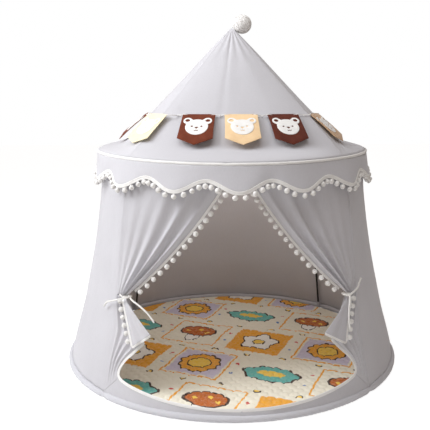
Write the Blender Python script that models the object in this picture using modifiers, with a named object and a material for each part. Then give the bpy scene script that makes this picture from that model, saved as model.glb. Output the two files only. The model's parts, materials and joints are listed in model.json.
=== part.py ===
# A round play tent: cone roof, eave hoop, four cloth walls and a door with tied curtains.
# Metres, +Z up. The floor is z = 0 and the door faces -Y.
# Azimuths run from -Y towards +X, so a corner post stands at +-45 and +-135 degrees.
import bisect
import math

import bmesh
import bpy
from mathutils import Matrix, Vector

# Overall sizes
BASE_RADIUS = 0.675
EAVE_RADIUS = 0.529
EAVE_HEIGHT = 0.829
EAVE_LIFT = 0.012
APEX_HEIGHT = 1.313

# Clearances
GAP = 0.0003
SLACK = 0.002

# Cloth
CLOTH = 0.0016
PANEL_DIP = 0.033
DIP_SHARE = 2.6
# How far each corner seam is drawn in towards its pole, at even steps from its foot to its top.
SEAM_DRAW_SHARES = (0.0, 0.35, 0.90, 0.95, 0.80, 0.20, -0.45, -0.45, 0.0)
ROOF_FLAT_SHARE = 0.864
ROOF_FLARE_SHARE = 0.15
TIP_RADIUS = 0.006

# Hoops and the cloth sleeves round them
PIPING_RADIUS = 0.0055
PIPING_WALL = 0.0012
PIPING_SLIT_DEG = 210
EAVE_HOOP_RADIUS = 0.0035
SLEEVE_RADIUS = 0.012
SLEEVE_WALL = 0.002
BASE_HOOP_RADIUS = 0.004

# Floor and mat
FLOOR_THICKNESS = 0.0015
MAT_MARGIN = 0.058
MAT_THICKNESS = 0.022
MAT_EDGE = 0.009

# Poles and their fittings
POLE_RADIUS = 0.0045
ELBOW_RADIUS = 0.0085
ELBOW_ARM = 0.035
ELBOW_WEB = 0.006
HUB_RADIUS = 0.022
HUB_WEB = 0.012
POCKET_WALL = 0.0017
POCKET_HEIGHT = 0.036

# Valance with its tape and pompoms
VALANCE_DROP = 0.0665
SCALLOP_DEPTH = 0.0185
SCALLOPS = 16
TAPE_WIDTH = 0.013
TAPE_THICKNESS = 0.002
POMPOM_RADIUS = 0.0095
POMPOM_PITCH = 0.0275
POMPOM_BITE = 0.0005

# Door, curtains and ties
SILL_END_HEIGHT = 0.004
BINDING_WIDTH = 0.011
BINDING_THICKNESS = 0.0024
TIE_HEIGHT = 0.365
TIE_RADIUS = 0.0033
TIE_END_SHARE = 0.97
TIE_PULL = 0.010
TIE_LOOP_HALF_WIDTH = 0.0195
TIE_LOOP_HALF_DEPTH = 0.012
KNOT_RADIUS = 0.0065
DOOR_PULL = 0.012
CURTAIN_FOLD = 0.013
CURTAIN_FOLDS = 4
CURTAIN_SAG = 0.045
CURTAIN_TOP_DEG = 2.0
HEM_BOW_SHARE = 1.2
HEM_WIDTH = 0.009
HEM_PITCH = 0.031
HEM_START_SHARE = 0.10
FOOT_FOLD = 0.007
FOOT_FOLDS = 3
FLAP_NECK = 0.010
FLAP_LENGTH = 0.150
FLAP_RISE = 0.048
FLAP_WIDTH = 0.098
FLAP_LEAN = 0.020
FLAP_FOLD = 0.004
FLAP_ROWS = 4
FLAP_SPACING_SHARE = 1.6
# The door's edge, from the fold of the curtain down and along the sill to its middle:
# azimuth as a share of the half panel, height as a share of the tie's height.
DOOR_EDGE_SHARES = (
    (0.700, 0.600), (0.780, 0.500), (0.850, 0.420), (0.893, 0.352), (0.910, 0.295),
    (0.896, 0.258), (0.850, 0.234), (0.730, 0.204), (0.500, 0.161), (0.250, 0.133), (0.0, 0.124),
)
# The curtain's fold, from the tie down to the door's edge, in the same shares.
FOLD_EDGE_SHARES = ((0.905, 0.985), (0.840, 0.860), (0.770, 0.730), (0.700, 0.600))

# Bunting
CORD_RADIUS = 0.0016
BUNTING_HEIGHT_SHARE = 0.305
FLAGS = 6
FLAG_WIDTH = 0.118
FLAG_LENGTH = 0.140
FLAG_POINT = 0.027
FLAG_SPACE = 0.035
FLAG_THICKNESS = 0.002
FLAG_HEAD = 0.0024
FLAG_SLOT = 0.011
FLAG_SLOT_HEIGHT = 0.0028
FLAG_SLOT_EDGE = 0.010
FLAGS_MIDDLE_DEG = -9.5
FACE_WIDTH = 0.080
FACE_HEIGHT = 0.062
FACE_THICKNESS = 0.0014
EAR_RADIUS = 0.0155
FACE_DROP = 0.064
# Corners of the nose and the smile, as shares of half the face's width and height.
NOSE_SHARES = ((-0.15, -0.06), (0.15, -0.06), (0.0, -0.26))
SMILE_SHARES = ((-0.18, -0.42), (0.0, -0.52), (0.18, -0.42), (0.0, -0.62))

# Pompom on the tip
TOP_POMPOM_RADIUS = 0.0365
TOP_POMPOM_REACH = 0.042
TOP_KNOT_RADIUS = 0.006
TOP_STEM_RADIUS = 0.003

# Mesh counts
PANEL_COLUMNS = 10
WALL_ROWS = 6
ROOF_ROWS = 3
SCALLOP_COLUMNS = 6
EDGE_ROUND_STEPS = 4
FINE_STEPS = 1600
CURTAIN_COLUMNS = 20
CURTAIN_ROWS = 8
FOOT_COLUMNS = 10
FOOT_TOP_ROWS = 4
HEM_COLUMNS = 12
FLAP_COLUMNS = 8
LOOP_STEPS = 14
TIE_END_STEPS = 8
KNOT_RINGS = 4
HUB_RINGS = 6
POCKET_SIDES = 12
FACE_STEPS = 24
POMPOM_STEPS = 9
TOP_KNOT_STEPS = 4
TOP_POMPOM_SIDES = 14
POMPOM_SIDES = 4
RING_SEGMENTS = 40
SLEEVE_SIDES = 8
PIPING_SIDES = 6
POLE_SIDES = 8
HALF_PANEL = math.radians(45)

parts = bpy.data.collections.new("kids_play_tent")
helpers = bpy.data.collections.new("cutters")


def lerp(a, b, share):
    return a + (b - a) * share


def smooth(share):
    share = min(1.0, max(0.0, share))
    return share * share * (3 - 2 * share)


def polar(azimuth, radius, height):
    return Vector((radius * math.sin(azimuth), -radius * math.cos(azimuth), height))


def outward(azimuth):
    return polar(azimuth, 1.0, 0.0)


def from_panel_middle(azimuth):
    """Angle from the middle of the panel that holds this azimuth."""
    quarter = 2 * HALF_PANEL
    return (azimuth + HALF_PANEL) % quarter - HALF_PANEL


def spline(points, share):
    """A smooth curve through points, at a share of its steps."""
    last = len(points) - 1
    place = min(max(share, 0.0), 1.0) * last
    i = min(int(place), last - 1)
    t = place - i
    a, b, c, d = (points[min(max(k, 0), last)] for k in (i - 1, i, i + 1, i + 2))
    return tuple(
        0.5 * (2 * q + (r - p) * t + (2 * p - 5 * q + 4 * r - s) * t * t + (3 * q - p - 3 * r + s) * t ** 3)
        for p, q, r, s in zip(a, b, c, d)
    )


# Where the cloth lies


def eave_z(azimuth):
    """The eave hoop's height: its sides ride a little higher than its front and back."""
    return EAVE_HEIGHT + EAVE_LIFT * math.sin(azimuth) ** 2


WALL_TOP_RADIUS = EAVE_RADIUS - PIPING_WALL
WALL_FOOT_RADIUS = BASE_RADIUS - SLEEVE_RADIUS
WALL_FOOT_HEIGHT = 2 * SLEEVE_RADIUS + GAP


def wall_top_z(azimuth):
    return eave_z(azimuth) - PIPING_RADIUS - GAP


def elbow_centre(azimuth):
    piping = PIPING_RADIUS / math.cos(math.pi / PIPING_SIDES)
    return polar(azimuth, EAVE_RADIUS - piping - GAP - ELBOW_RADIUS, eave_z(azimuth))


def pole_foot(azimuth):
    """The wall pole's lower end, in its pocket against the base roll."""
    pocket = POLE_RADIUS + GAP + POCKET_WALL
    radius = WALL_FOOT_RADIUS - SLEEVE_RADIUS - GAP - pocket
    lean = math.atan2(radius - EAVE_RADIUS, eave_z(azimuth)) + math.atan2(ELBOW_RADIUS, EAVE_HEIGHT)
    return polar(azimuth, radius, FLOOR_THICKNESS + 2 * GAP + POCKET_WALL + pocket * math.sin(lean))


def seam_radius(share):
    """How far out a corner seam lies: straight between the hoops, but for where it is drawn to its pole."""
    line = lerp(WALL_FOOT_RADIUS, WALL_TOP_RADIUS, share)
    height = lerp(WALL_FOOT_HEIGHT, wall_top_z(HALF_PANEL), share)
    foot, top = pole_foot(HALF_PANEL), elbow_centre(HALF_PANEL)
    up = (height - foot.z) / (top.z - foot.z)
    pole = lerp(foot.xy.length, top.xy.length, up) + POLE_RADIUS + 2 * GAP
    drawn, = spline([(value,) for value in SEAM_DRAW_SHARES], share)
    return line - (line - CLOTH - pole) * drawn


def wall_radius(azimuth, height):
    """Outer face of the wall cloth: sewn round both hoops, drawn in between the seams."""
    share = (height - WALL_FOOT_HEIGHT) / (wall_top_z(azimuth) - WALL_FOOT_HEIGHT)
    share = min(1.0, max(0.0, share))
    dip = PANEL_DIP * math.sin(math.pi * share ** DIP_SHARE)
    return seam_radius(share) - dip * math.cos(2 * from_panel_middle(azimuth))


def roof_foot_z(azimuth):
    return eave_z(azimuth) + PIPING_RADIUS + GAP


def roof_at(azimuth, share):
    """(radius, height) of the roof cloth's outer face, from the eave, 0, to the apex, 1."""
    flat = (1 - ROOF_FLAT_SHARE) * smooth(share / ROOF_FLARE_SHARE)
    radius = (EAVE_RADIUS + CLOTH / 2) * (1 - share) * (1 - flat * math.cos(2 * from_panel_middle(azimuth)))
    return radius, lerp(roof_foot_z(azimuth), APEX_HEIGHT, share)


def trimmed(azimuth, edge, radius, gap):
    """The azimuth, kept half a gap inside a seam at this edge."""
    room = gap / 2 / max(radius, TIP_RADIUS)
    if azimuth > edge - HALF_PANEL:
        return min(azimuth, edge - room)
    return max(azimuth, edge - 2 * HALF_PANEL + room)


# Making objects


def material(name, colour, roughness, metallic=0.0):
    found = bpy.data.materials.get(name)
    if found:
        return found
    made = bpy.data.materials.new(name)
    made.use_nodes = True
    shader = made.node_tree.nodes["Principled BSDF"]
    shader.inputs["Base Color"].default_value = (*colour, 1.0)
    shader.inputs["Roughness"].default_value = roughness
    shader.inputs["Metallic"].default_value = metallic
    return made


GREY_CLOTH = material("grey_cloth", (0.55, 0.54, 0.57), 0.85)
WHITE_TRIM = material("white_trim", (0.88, 0.88, 0.86), 0.80)
BLACK_POLE = material("black_pole", (0.02, 0.02, 0.022), 0.45)
BLACK_PLASTIC = material("black_plastic", (0.03, 0.03, 0.032), 0.50)
STEEL_HOOP = material("steel_hoop", (0.55, 0.55, 0.56), 0.35, 1.0)
FLOOR_CLOTH = material("floor_cloth", (0.50, 0.49, 0.50), 0.80)
MAT_CLOTH = material("mat_cloth", (0.76, 0.70, 0.58), 0.90)
CREAM_FELT = material("cream_felt", (0.90, 0.68, 0.42), 0.95)
BROWN_FELT = material("brown_felt", (0.15, 0.035, 0.015), 0.95)
WHITE_FELT = material("white_felt", (0.90, 0.90, 0.88), 0.95)


def add(name, mesh_or_curve, finish, collection=parts):
    made = bpy.data.objects.new(name, mesh_or_curve)
    collection.objects.link(made)
    if finish and not made.data.materials:
        made.data.materials.append(finish)
    return made


def smoothed(made, angle=math.radians(40)):
    made.data.shade_smooth()
    made.data.set_sharp_from_angle(angle=angle)
    return made


def face_out(form):
    """Turns the faces of a closed body outwards."""
    bmesh.ops.recalc_face_normals(form, faces=form.faces[:])
    if form.calc_volume(signed=True) < 0:
        bmesh.ops.reverse_faces(form, faces=form.faces[:])


def bent_slab(name, columns, rows, place, finish, collection=parts):
    """A thin slab, bent: place(i, j, k) gives column i's point in row j on face k, 0 outer or 1 inner."""
    form = bmesh.new()
    bmesh.ops.create_grid(form, x_segments=columns, y_segments=rows, size=0.5)
    bmesh.ops.solidify(form, geom=form.faces[:], thickness=1.0)
    heights = [vertex.co.z for vertex in form.verts]
    low, high = min(heights), max(heights)
    for vertex in form.verts:
        i = round((vertex.co.x + 0.5) * columns)
        j = round((vertex.co.y + 0.5) * rows)
        k = 0 if high - vertex.co.z < vertex.co.z - low else 1
        vertex.co = place(i, j, k)
    face_out(form)
    mesh = bpy.data.meshes.new(name)
    form.to_mesh(mesh)
    form.free()
    return smoothed(add(name, mesh, finish, collection))


def loft(name, rings, finish):
    """A solid through rings of corners, closed by a flat face at its first and its last ring."""
    form = bmesh.new()
    rows = [[form.verts.new(corner) for corner in ring] for ring in rings]
    for one, other in zip(rows, rows[1:]):
        for k in range(len(one)):
            form.faces.new((one[k - 1], one[k], other[k], other[k - 1]))
    form.faces.new(rows[0])
    form.faces.new(rows[-1])
    face_out(form)
    mesh = bpy.data.meshes.new(name)
    form.to_mesh(mesh)
    form.free()
    return smoothed(add(name, mesh, finish))


def turned(name, outline, segments, finish):
    """A solid of revolution about Z: outline holds (radius, height) round its side, from axis to axis."""
    mesh = bpy.data.meshes.new(name)
    form = bmesh.new()
    corners = [form.verts.new((radius, 0.0, height)) for radius, height in outline]
    for one, other in zip(corners, corners[1:]):
        form.edges.new((one, other))
    form.to_mesh(mesh)
    form.free()
    made = add(name, mesh, finish)
    screw = made.modifiers.new("turn", "SCREW")
    screw.steps = screw.render_steps = segments
    screw.use_merge_vertices = True
    screw.merge_threshold = 0.0001
    screw.use_smooth_shade = True
    return made


def rod(name, start, end, radius, sides, finish, collection=parts):
    """A round bar between two points."""
    form = bmesh.new()
    bmesh.ops.create_cone(form, cap_ends=True, segments=sides, radius1=radius, radius2=radius,
                          depth=(end - start).length)
    mesh = bpy.data.meshes.new(name)
    form.to_mesh(mesh)
    form.free()
    made = smoothed(add(name, mesh, finish, collection))
    made.rotation_mode = "QUATERNION"
    made.rotation_quaternion = (end - start).to_track_quat("Z", "Y")
    made.location = (start + end) / 2
    return made


def ball(name, centre, radius, rings, finish, collection=parts):
    form = bmesh.new()
    bmesh.ops.create_uvsphere(form, u_segments=2 * rings, v_segments=rings, radius=radius)
    mesh = bpy.data.meshes.new(name)
    form.to_mesh(mesh)
    form.free()
    made = smoothed(add(name, mesh, finish, collection))
    made.location = centre
    return made


def helper(made):
    made.hide_render = True
    made.display_type = "WIRE"
    return made


def combine(target, other, operation):
    boolean = target.modifiers.new(operation.lower(), "BOOLEAN")
    boolean.operation = operation
    boolean.object = helper(other)
    return target


def cord(name, points, radius, finish, closed=False, collection=parts):
    """A round cord along points, as a mesh."""
    curve = bpy.data.curves.new(name, "CURVE")
    curve.dimensions = "3D"
    curve.bevel_depth = radius
    curve.bevel_resolution = 1
    curve.use_fill_caps = not closed
    run = curve.splines.new("POLY")
    run.points.add(len(points) - 1)
    for knot, point in zip(run.points, points):
        knot.co = (*point, 1.0)
    run.use_cyclic_u = closed
    drawn = add(name, curve, None, collection)
    bpy.context.view_layer.update()
    mesh = bpy.data.meshes.new_from_object(drawn.evaluated_get(bpy.context.evaluated_depsgraph_get()))
    bpy.data.objects.remove(drawn)
    form = bmesh.new()
    form.from_mesh(mesh)
    bmesh.ops.remove_doubles(form, verts=form.verts[:], dist=GAP / 10)
    face_out(form)
    form.to_mesh(mesh)
    form.free()
    mesh.name = name
    return smoothed(add(name, mesh, finish, collection), math.radians(60))


def flat_shape(name, outlines, thickness, finish):
    """A flat sheet cut to the first outline, with the other outlines as holes."""
    curve = bpy.data.curves.new(name, "CURVE")
    curve.dimensions = "2D"
    curve.fill_mode = "BOTH"
    curve.extrude = thickness / 2
    for outline in outlines:
        run = curve.splines.new("POLY")
        run.points.add(len(outline) - 1)
        for knot, (x, y) in zip(run.points, outline):
            knot.co = (x, y, 0.0, 1.0)
        run.use_cyclic_u = True
    return add(name, curve, finish)


def round_shape(centre, half_width, half_height, count, turn=0.0):
    return [
        (centre[0] + half_width * math.cos(turn + 2 * math.pi * k / count),
         centre[1] + half_height * math.sin(turn + 2 * math.pi * k / count))
        for k in range(count)
    ]


def pompom_tape(name, edge, columns, width, shares):
    """White tape sewn along a cloth edge, with a row of small pompoms hanging from it.

    edge(share) gives a point on the cloth's outer face, the way on past its edge and the way out of it.
    """
    frames = [edge(i / columns) for i in range(columns + 1)]

    def place(i, j, k):
        point, way, out = frames[i]
        return point + way * (GAP + width * j) + out * (TAPE_THICKNESS * (0.5 - k) - CLOTH / 2)

    tape = bent_slab(name, columns, 1, place, WHITE_TRIM)
    form = bmesh.new()
    for share in shares:
        i = min(int(share * columns), columns - 1)
        start, end = place(i, 1, 0.5), place(i + 1, 1, 0.5)
        along = (end - start).normalized()
        way = frames[i][1] + frames[i + 1][1]
        way = (way - along * way.dot(along)).normalized()
        turn = Matrix((along, way.cross(along), way)).transposed().to_4x4()
        centre = lerp(start, end, share * columns - i) + way * (POMPOM_RADIUS - POMPOM_BITE)
        bmesh.ops.create_uvsphere(form, u_segments=POMPOM_SIDES, v_segments=POMPOM_SIDES // 2,
                                  radius=POMPOM_RADIUS, matrix=Matrix.Translation(centre) @ turn)
    mesh = bpy.data.meshes.new(name + "_pompoms")
    form.to_mesh(mesh)
    form.free()
    return combine(tape, add(mesh.name, mesh, None, helpers), "UNION")


def evenly(length, pitch):
    """Shares along a length at about this pitch, half a pitch in from each end."""
    count = max(1, round(length / pitch))
    return [(k + 0.5) / count for k in range(count)]


def even_along(edge, pitch):
    """Shares of a curved edge that lie at an even pitch along it."""
    points = [edge(k / FINE_STEPS)[0] for k in range(FINE_STEPS + 1)]
    lengths = [0.0]
    for one, other in zip(points, points[1:]):
        lengths.append(lengths[-1] + (other - one).length)
    whole = lengths[-1]
    return [bisect.bisect(lengths, share * whole) / FINE_STEPS for share in evenly(whole, pitch)]


# Floor, base ring and mat


def floor_sheet():
    reach = SLEEVE_RADIUS * math.tan(math.pi / SLEEVE_SIDES) + FLOOR_THICKNESS
    form = bmesh.new()
    bmesh.ops.create_cone(form, cap_ends=True, segments=RING_SEGMENTS, depth=FLOOR_THICKNESS,
                          radius1=WALL_FOOT_RADIUS - reach - GAP, radius2=WALL_FOOT_RADIUS - reach - GAP)
    mesh = bpy.data.meshes.new("floor_sheet")
    form.to_mesh(mesh)
    form.free()
    made = add("floor_sheet", mesh, FLOOR_CLOTH)
    made.location.z = FLOOR_THICKNESS / 2


def ring_sleeve(name, radius, height, outer, wall, sides, slit_at):
    """A cloth tube round a hoop, open along one side, where its two edges meet the floor or the wall."""
    slit = 2 * math.pi / sides

    def place(i, j, k):
        azimuth = lerp(-math.pi + GAP / radius, math.pi - GAP / radius, i / RING_SEGMENTS)
        angle = slit_at + slit / 2 + j * slit
        reach = (outer - wall * k) / math.cos(slit / 2)
        return polar(azimuth, radius + reach * math.cos(angle), height(azimuth) + reach * math.sin(angle))

    return bent_slab(name, RING_SEGMENTS, sides - 1, place, GREY_CLOTH)


def hoop(name, radius, height, thickness, finish):
    bpy.ops.mesh.primitive_torus_add(major_segments=RING_SEGMENTS, minor_segments=4,
                                     major_radius=radius, minor_radius=thickness)
    made = bpy.context.object
    made.name = made.data.name = name
    for vertex in made.data.vertices:
        vertex.co.z += height(math.atan2(vertex.co.x, -vertex.co.y))
    for collection in list(made.users_collection):
        collection.objects.unlink(made)
    parts.objects.link(made)
    made.data.materials.append(finish)
    return smoothed(made, math.radians(70))


def base_ring():
    ring_sleeve("base_sleeve", WALL_FOOT_RADIUS, lambda azimuth: SLEEVE_RADIUS, SLEEVE_RADIUS, SLEEVE_WALL,
                SLEEVE_SIDES, math.pi)
    lowest = SLEEVE_WALL + GAP + BASE_HOOP_RADIUS
    hoop("base_hoop", WALL_FOOT_RADIUS, lambda azimuth: lowest, BASE_HOOP_RADIUS, STEEL_HOOP)


def mat():
    low = FLOOR_THICKNESS + GAP
    bulge = MAT_THICKNESS / 2
    radius = BASE_RADIUS - MAT_MARGIN
    outline = [(0.0, low + MAT_THICKNESS), (radius - 2 * MAT_EDGE, low + MAT_THICKNESS)]
    for step in range(1, EDGE_ROUND_STEPS):
        angle = math.pi * (0.5 - step / EDGE_ROUND_STEPS)
        outline.append((radius - MAT_EDGE * (1 - math.cos(angle)), low + bulge * (1 + math.sin(angle))))
    outline += [(radius - 2 * MAT_EDGE, low), (0.0, low)]
    turned("mat", outline, RING_SEGMENTS, MAT_CLOTH)


# Walls and roof


def wall(name, middle):
    low, high = middle - HALF_PANEL, middle + HALF_PANEL

    def place(i, j, k):
        azimuth = lerp(low, high, i / PANEL_COLUMNS)
        height = lerp(WALL_FOOT_HEIGHT, wall_top_z(azimuth), j / WALL_ROWS)
        radius = wall_radius(azimuth, height) - CLOTH * k
        return polar(trimmed(azimuth, high, radius, GAP), radius, height)

    bent_slab(name, PANEL_COLUMNS, WALL_ROWS, place, GREY_CLOTH)


def roof_panel(name, middle):
    low, high = middle - HALF_PANEL, middle + HALF_PANEL
    row_shares = [ROOF_FLARE_SHARE * k / ROOF_ROWS for k in range(ROOF_ROWS)]
    row_shares += [lerp(ROOF_FLARE_SHARE, 1, k / ROOF_ROWS) for k in range(ROOF_ROWS + 1)]

    def place(i, j, k):
        azimuth = lerp(low, high, i / PANEL_COLUMNS)
        radius, height = roof_at(azimuth, row_shares[j] * (1 - TIP_RADIUS / EAVE_RADIUS))
        radius -= CLOTH * k
        return polar(trimmed(azimuth, high, radius, GAP), radius, height)

    bent_slab(name, PANEL_COLUMNS, len(row_shares) - 1, place, GREY_CLOTH)


# Poles and fittings


def hub_centre():
    """The hub hangs under the tip, as high as the roof cloth lets it."""
    slope = math.atan2(APEX_HEIGHT - roof_foot_z(0.0), EAVE_RADIUS * ROOF_FLAT_SHARE)
    return Vector((0.0, 0.0, APEX_HEIGHT - (HUB_RADIUS + CLOTH + SLACK) / math.cos(slope)))


def roof_pole(name, azimuth):
    top, low = hub_centre(), elbow_centre(azimuth)
    along = (top - low).normalized()
    start, end = low + along * (ELBOW_WEB + GAP), top - along * (HUB_WEB + GAP)
    rod(name, start, end, POLE_RADIUS, POLE_SIDES, BLACK_POLE)


def wall_pole(name, azimuth):
    top, low = elbow_centre(azimuth), pole_foot(azimuth)
    along = (low - top).normalized()
    rod(name, top + along * (ELBOW_WEB + GAP), low, POLE_RADIUS, POLE_SIDES, BLACK_POLE)


def elbow(name, azimuth):
    """Joins a wall pole to a roof pole: a bent bar with a blind socket in each end."""
    centre = elbow_centre(azimuth)
    down, up = ((end - centre).normalized() for end in (pole_foot(azimuth), hub_centre()))
    side = down.cross(up).normalized()
    bore = (POLE_RADIUS + GAP) / math.cos(math.pi / POLE_SIDES)

    def ring(along, outside, radius, reach=None):
        """Corners round one arm, this far along it, or where the two arms meet."""
        corners = []
        for step in range(POLE_SIDES):
            angle = 2 * math.pi * step / POLE_SIDES
            spoke = (side * math.cos(angle) + outside * math.sin(angle)) * radius
            meet = -spoke.dot(down - up) / along.dot(down - up)
            corners.append(centre + spoke + along * (meet if reach is None else reach))
        return corners

    low, high = down.cross(side), side.cross(up)
    mouths = ((bore, ELBOW_WEB), (bore, ELBOW_ARM), (ELBOW_RADIUS, ELBOW_ARM))
    rings = [ring(down, low, radius, reach) for radius, reach in mouths]
    rings.append(ring(down, low, ELBOW_RADIUS))
    rings += [ring(up, high, radius, reach) for radius, reach in reversed(mouths)]
    loft(name, rings, BLACK_PLASTIC)


def top_hub(azimuths):
    """A ball under the tip with one blind socket for each roof pole."""
    centre = hub_centre()
    body = ball("top_hub", centre, HUB_RADIUS, HUB_RINGS, BLACK_PLASTIC)
    for k, azimuth in enumerate(azimuths):
        along = (elbow_centre(azimuth) - centre).normalized()
        bore = rod(f"top_hub_bore_{k}", centre + along * HUB_WEB, centre + along * (2 * HUB_RADIUS),
                   POLE_RADIUS + GAP, POLE_SIDES, None, helpers)
        combine(body, bore, "DIFFERENCE")


def pole_pocket(name, azimuth):
    """A deep cup of folded cloth that holds the foot of a wall pole."""
    foot, top = pole_foot(azimuth), elbow_centre(azimuth)
    inner = POLE_RADIUS + GAP
    outline = [(0.0, -GAP), (inner, -GAP), (inner, POCKET_HEIGHT), (inner + POCKET_WALL, POCKET_HEIGHT),
               (inner + POCKET_WALL, -GAP - POCKET_WALL), (0.0, -GAP - POCKET_WALL)]
    made = turned(name, outline, POCKET_SIDES, GREY_CLOTH)
    made.rotation_mode = "QUATERNION"
    made.rotation_quaternion = (top - foot).to_track_quat("Z", "Y")
    made.location = foot


# Valance


def valance_drop(azimuth):
    """How far the cloth's lower edge hangs below the eave hoop, deepest at the scallops' lows."""
    return VALANCE_DROP + SCALLOP_DEPTH * math.cos(SCALLOPS * azimuth)


def valance_radius(drop):
    """Outer face of the valance, which hangs off the wall by the width of its pompoms."""
    deepest = VALANCE_DROP + SCALLOP_DEPTH
    top = EAVE_RADIUS + PIPING_WALL + CLOTH
    low = wall_radius(HALF_PANEL, EAVE_HEIGHT - deepest) + 2 * POMPOM_RADIUS + SLACK
    return lerp(top, low, drop / deepest)


def valance_edge(share):
    """The lower edge all round: its point, the way down past it and the way out."""
    end = math.pi - GAP / EAVE_RADIUS

    def point_at(azimuth):
        drop = valance_drop(azimuth)
        return polar(azimuth, valance_radius(drop), eave_z(azimuth) - drop)

    azimuth = lerp(-end, end, share)
    step = math.radians(0.5)
    run = (point_at(azimuth + step) - point_at(azimuth - step)).normalized()
    out = outward(azimuth)
    way = run.cross(out).normalized()
    return point_at(azimuth), -way if way.z > 0 else way, out


def valance():
    columns = SCALLOP_COLUMNS * SCALLOPS
    end = math.pi - GAP / EAVE_RADIUS
    start = PIPING_RADIUS + GAP

    def place(i, j, k):
        azimuth = lerp(-end, end, i / columns)
        drop = lerp(start, valance_drop(azimuth), j)
        return polar(azimuth, valance_radius(drop) - CLOTH * k, eave_z(azimuth) - drop)

    bent_slab("valance", columns, 1, place, GREY_CLOTH)
    pompom_tape("valance_trim", valance_edge, columns, TAPE_WIDTH, even_along(valance_edge, POMPOM_PITCH))


# Door: sill, binding, curtains, their feet and flaps, and the ties.
# side is 1 for the right of the door, seen from outside, and -1 for the left.


def tie_radius_at():
    return wall_radius(HALF_PANEL, TIE_HEIGHT)


def bundle_radius():
    """The tie draws the curtain in a little from the seam."""
    return tie_radius_at() - TIE_PULL


def tie_middle():
    """Azimuth of the middle of the tied bundle, just inside the corner seam."""
    return HALF_PANEL - (TIE_LOOP_HALF_WIDTH + TIE_RADIUS + POLE_RADIUS + SLACK) / tie_radius_at()


def tie_knot():
    return tie_middle() - TIE_LOOP_HALF_WIDTH / tie_radius_at()


def door_radius(azimuth, height):
    """Outer face of the cloth beside the door, drawn in towards the tie away from the seam."""
    near_tie = smooth((height - WALL_FOOT_HEIGHT) / (TIE_HEIGHT - WALL_FOOT_HEIGHT))
    from_seam = smooth((HALF_PANEL - abs(azimuth)) / (HALF_PANEL - tie_knot()))
    return wall_radius(azimuth, height) - DOOR_PULL * near_tie * from_seam


def door_edge(share):
    """(azimuth, height) along the door's edge on the right, from the fold, 0, to the sill's middle, 1."""
    across, up = spline(DOOR_EDGE_SHARES, share)
    return across * HALF_PANEL, up * TIE_HEIGHT


def door_edge_inset(share, inset):
    """(azimuth, height) beside the door's edge, this far into the cloth."""
    azimuth, height = door_edge(share)
    before, after = door_edge(share - 0.01), door_edge(share + 0.01)
    radius = door_radius(azimuth, height)
    run, rise = (after[0] - before[0]) * radius, after[1] - before[1]
    length = math.hypot(run, rise)
    return azimuth - inset * rise / length / radius, height + inset * run / length


EDGE_STEPS = 16
CORNER_STEP = 8


def door_stations(inset, first, last):
    return [door_edge_inset(k / EDGE_STEPS, inset) for k in range(first, last + 1)]


def door_binding():
    right = [k / EDGE_STEPS for k in range(EDGE_STEPS + 1)]
    stations = [(share, 1) for share in right] + [(share, -1) for share in reversed(right[:-1])]

    def place(i, j, k):
        share, side = stations[i]
        azimuth, height = door_edge_inset(share, BINDING_WIDTH * j)
        radius = door_radius(azimuth, height) + (BINDING_THICKNESS - CLOTH) / 2 - BINDING_THICKNESS * k
        return polar(side * azimuth, radius, height)

    bent_slab("door_binding", len(stations) - 1, 1, place, WHITE_TRIM)


def front_sill():
    half = door_stations(BINDING_WIDTH + GAP, CORNER_STEP, EDGE_STEPS)
    half[0] = (half[0][0], half[0][1] - 3 * GAP)
    corner = (HALF_PANEL, WALL_FOOT_HEIGHT + SILL_END_HEIGHT)
    half = [corner, tuple(lerp(a, b, 0.5) for a, b in zip(corner, half[0]))] + half
    stations = [(azimuth, height, 1) for azimuth, height in half]
    stations += [(azimuth, height, -1) for azimuth, height in reversed(half[:-1])]
    rows = 2

    def place(i, j, k):
        azimuth, top, side = stations[i]
        height = lerp(WALL_FOOT_HEIGHT, top, j / rows)
        radius = door_radius(azimuth, height) - CLOTH * k
        return polar(side * trimmed(azimuth, HALF_PANEL, radius, GAP), radius, height)

    bent_slab("front_sill", len(stations) - 1, rows, place, GREY_CLOTH)


def curtain_foot(name, side):
    """The lower part of the curtain, which stays sewn to the corner seam and the sill."""
    folded = [spline(FOLD_EDGE_SHARES, k / FOOT_TOP_ROWS) for k in range(FOOT_TOP_ROWS)]
    inner = [(across * HALF_PANEL, up * TIE_HEIGHT) for across, up in folded]
    inner += door_stations(BINDING_WIDTH + GAP, 0, CORNER_STEP)
    top = TIE_HEIGHT - TIE_RADIUS - GAP
    low = WALL_FOOT_HEIGHT + SILL_END_HEIGHT + 2 * GAP
    inner[0] = (inner[0][0], top)
    rows = len(inner) - 1

    def place(i, j, k):
        across = i / FOOT_COLUMNS
        down = j / rows
        azimuth = lerp(HALF_PANEL, inner[j][0], across)
        seam_height = lerp(top, low, down)
        height = lerp(seam_height, inner[j][1], across)
        fold = FOOT_FOLD * (1 - down) ** 0.7 * math.sin(math.pi * FOOT_FOLDS * across) ** 2
        radius = door_radius(azimuth, height) + fold - CLOTH * k
        return polar(side * trimmed(azimuth, HALF_PANEL, radius, GAP), radius, height)

    bent_slab(name, FOOT_COLUMNS, rows, place, GREY_CLOTH)


def hem_at(share):
    """(azimuth, radius, height) of the curtain's front edge, from the eave, 0, to the tie, 1."""
    start = math.radians(CURTAIN_TOP_DEG)
    azimuth = lerp(start, tie_knot(), share ** HEM_BOW_SHARE)
    radius = lerp(wall_radius(start, wall_top_z(start)), bundle_radius(), share)
    height = lerp(wall_top_z(start), TIE_HEIGHT + TIE_RADIUS + GAP, share)
    return azimuth, radius - CURTAIN_SAG * math.sin(math.pi * share), height


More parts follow.
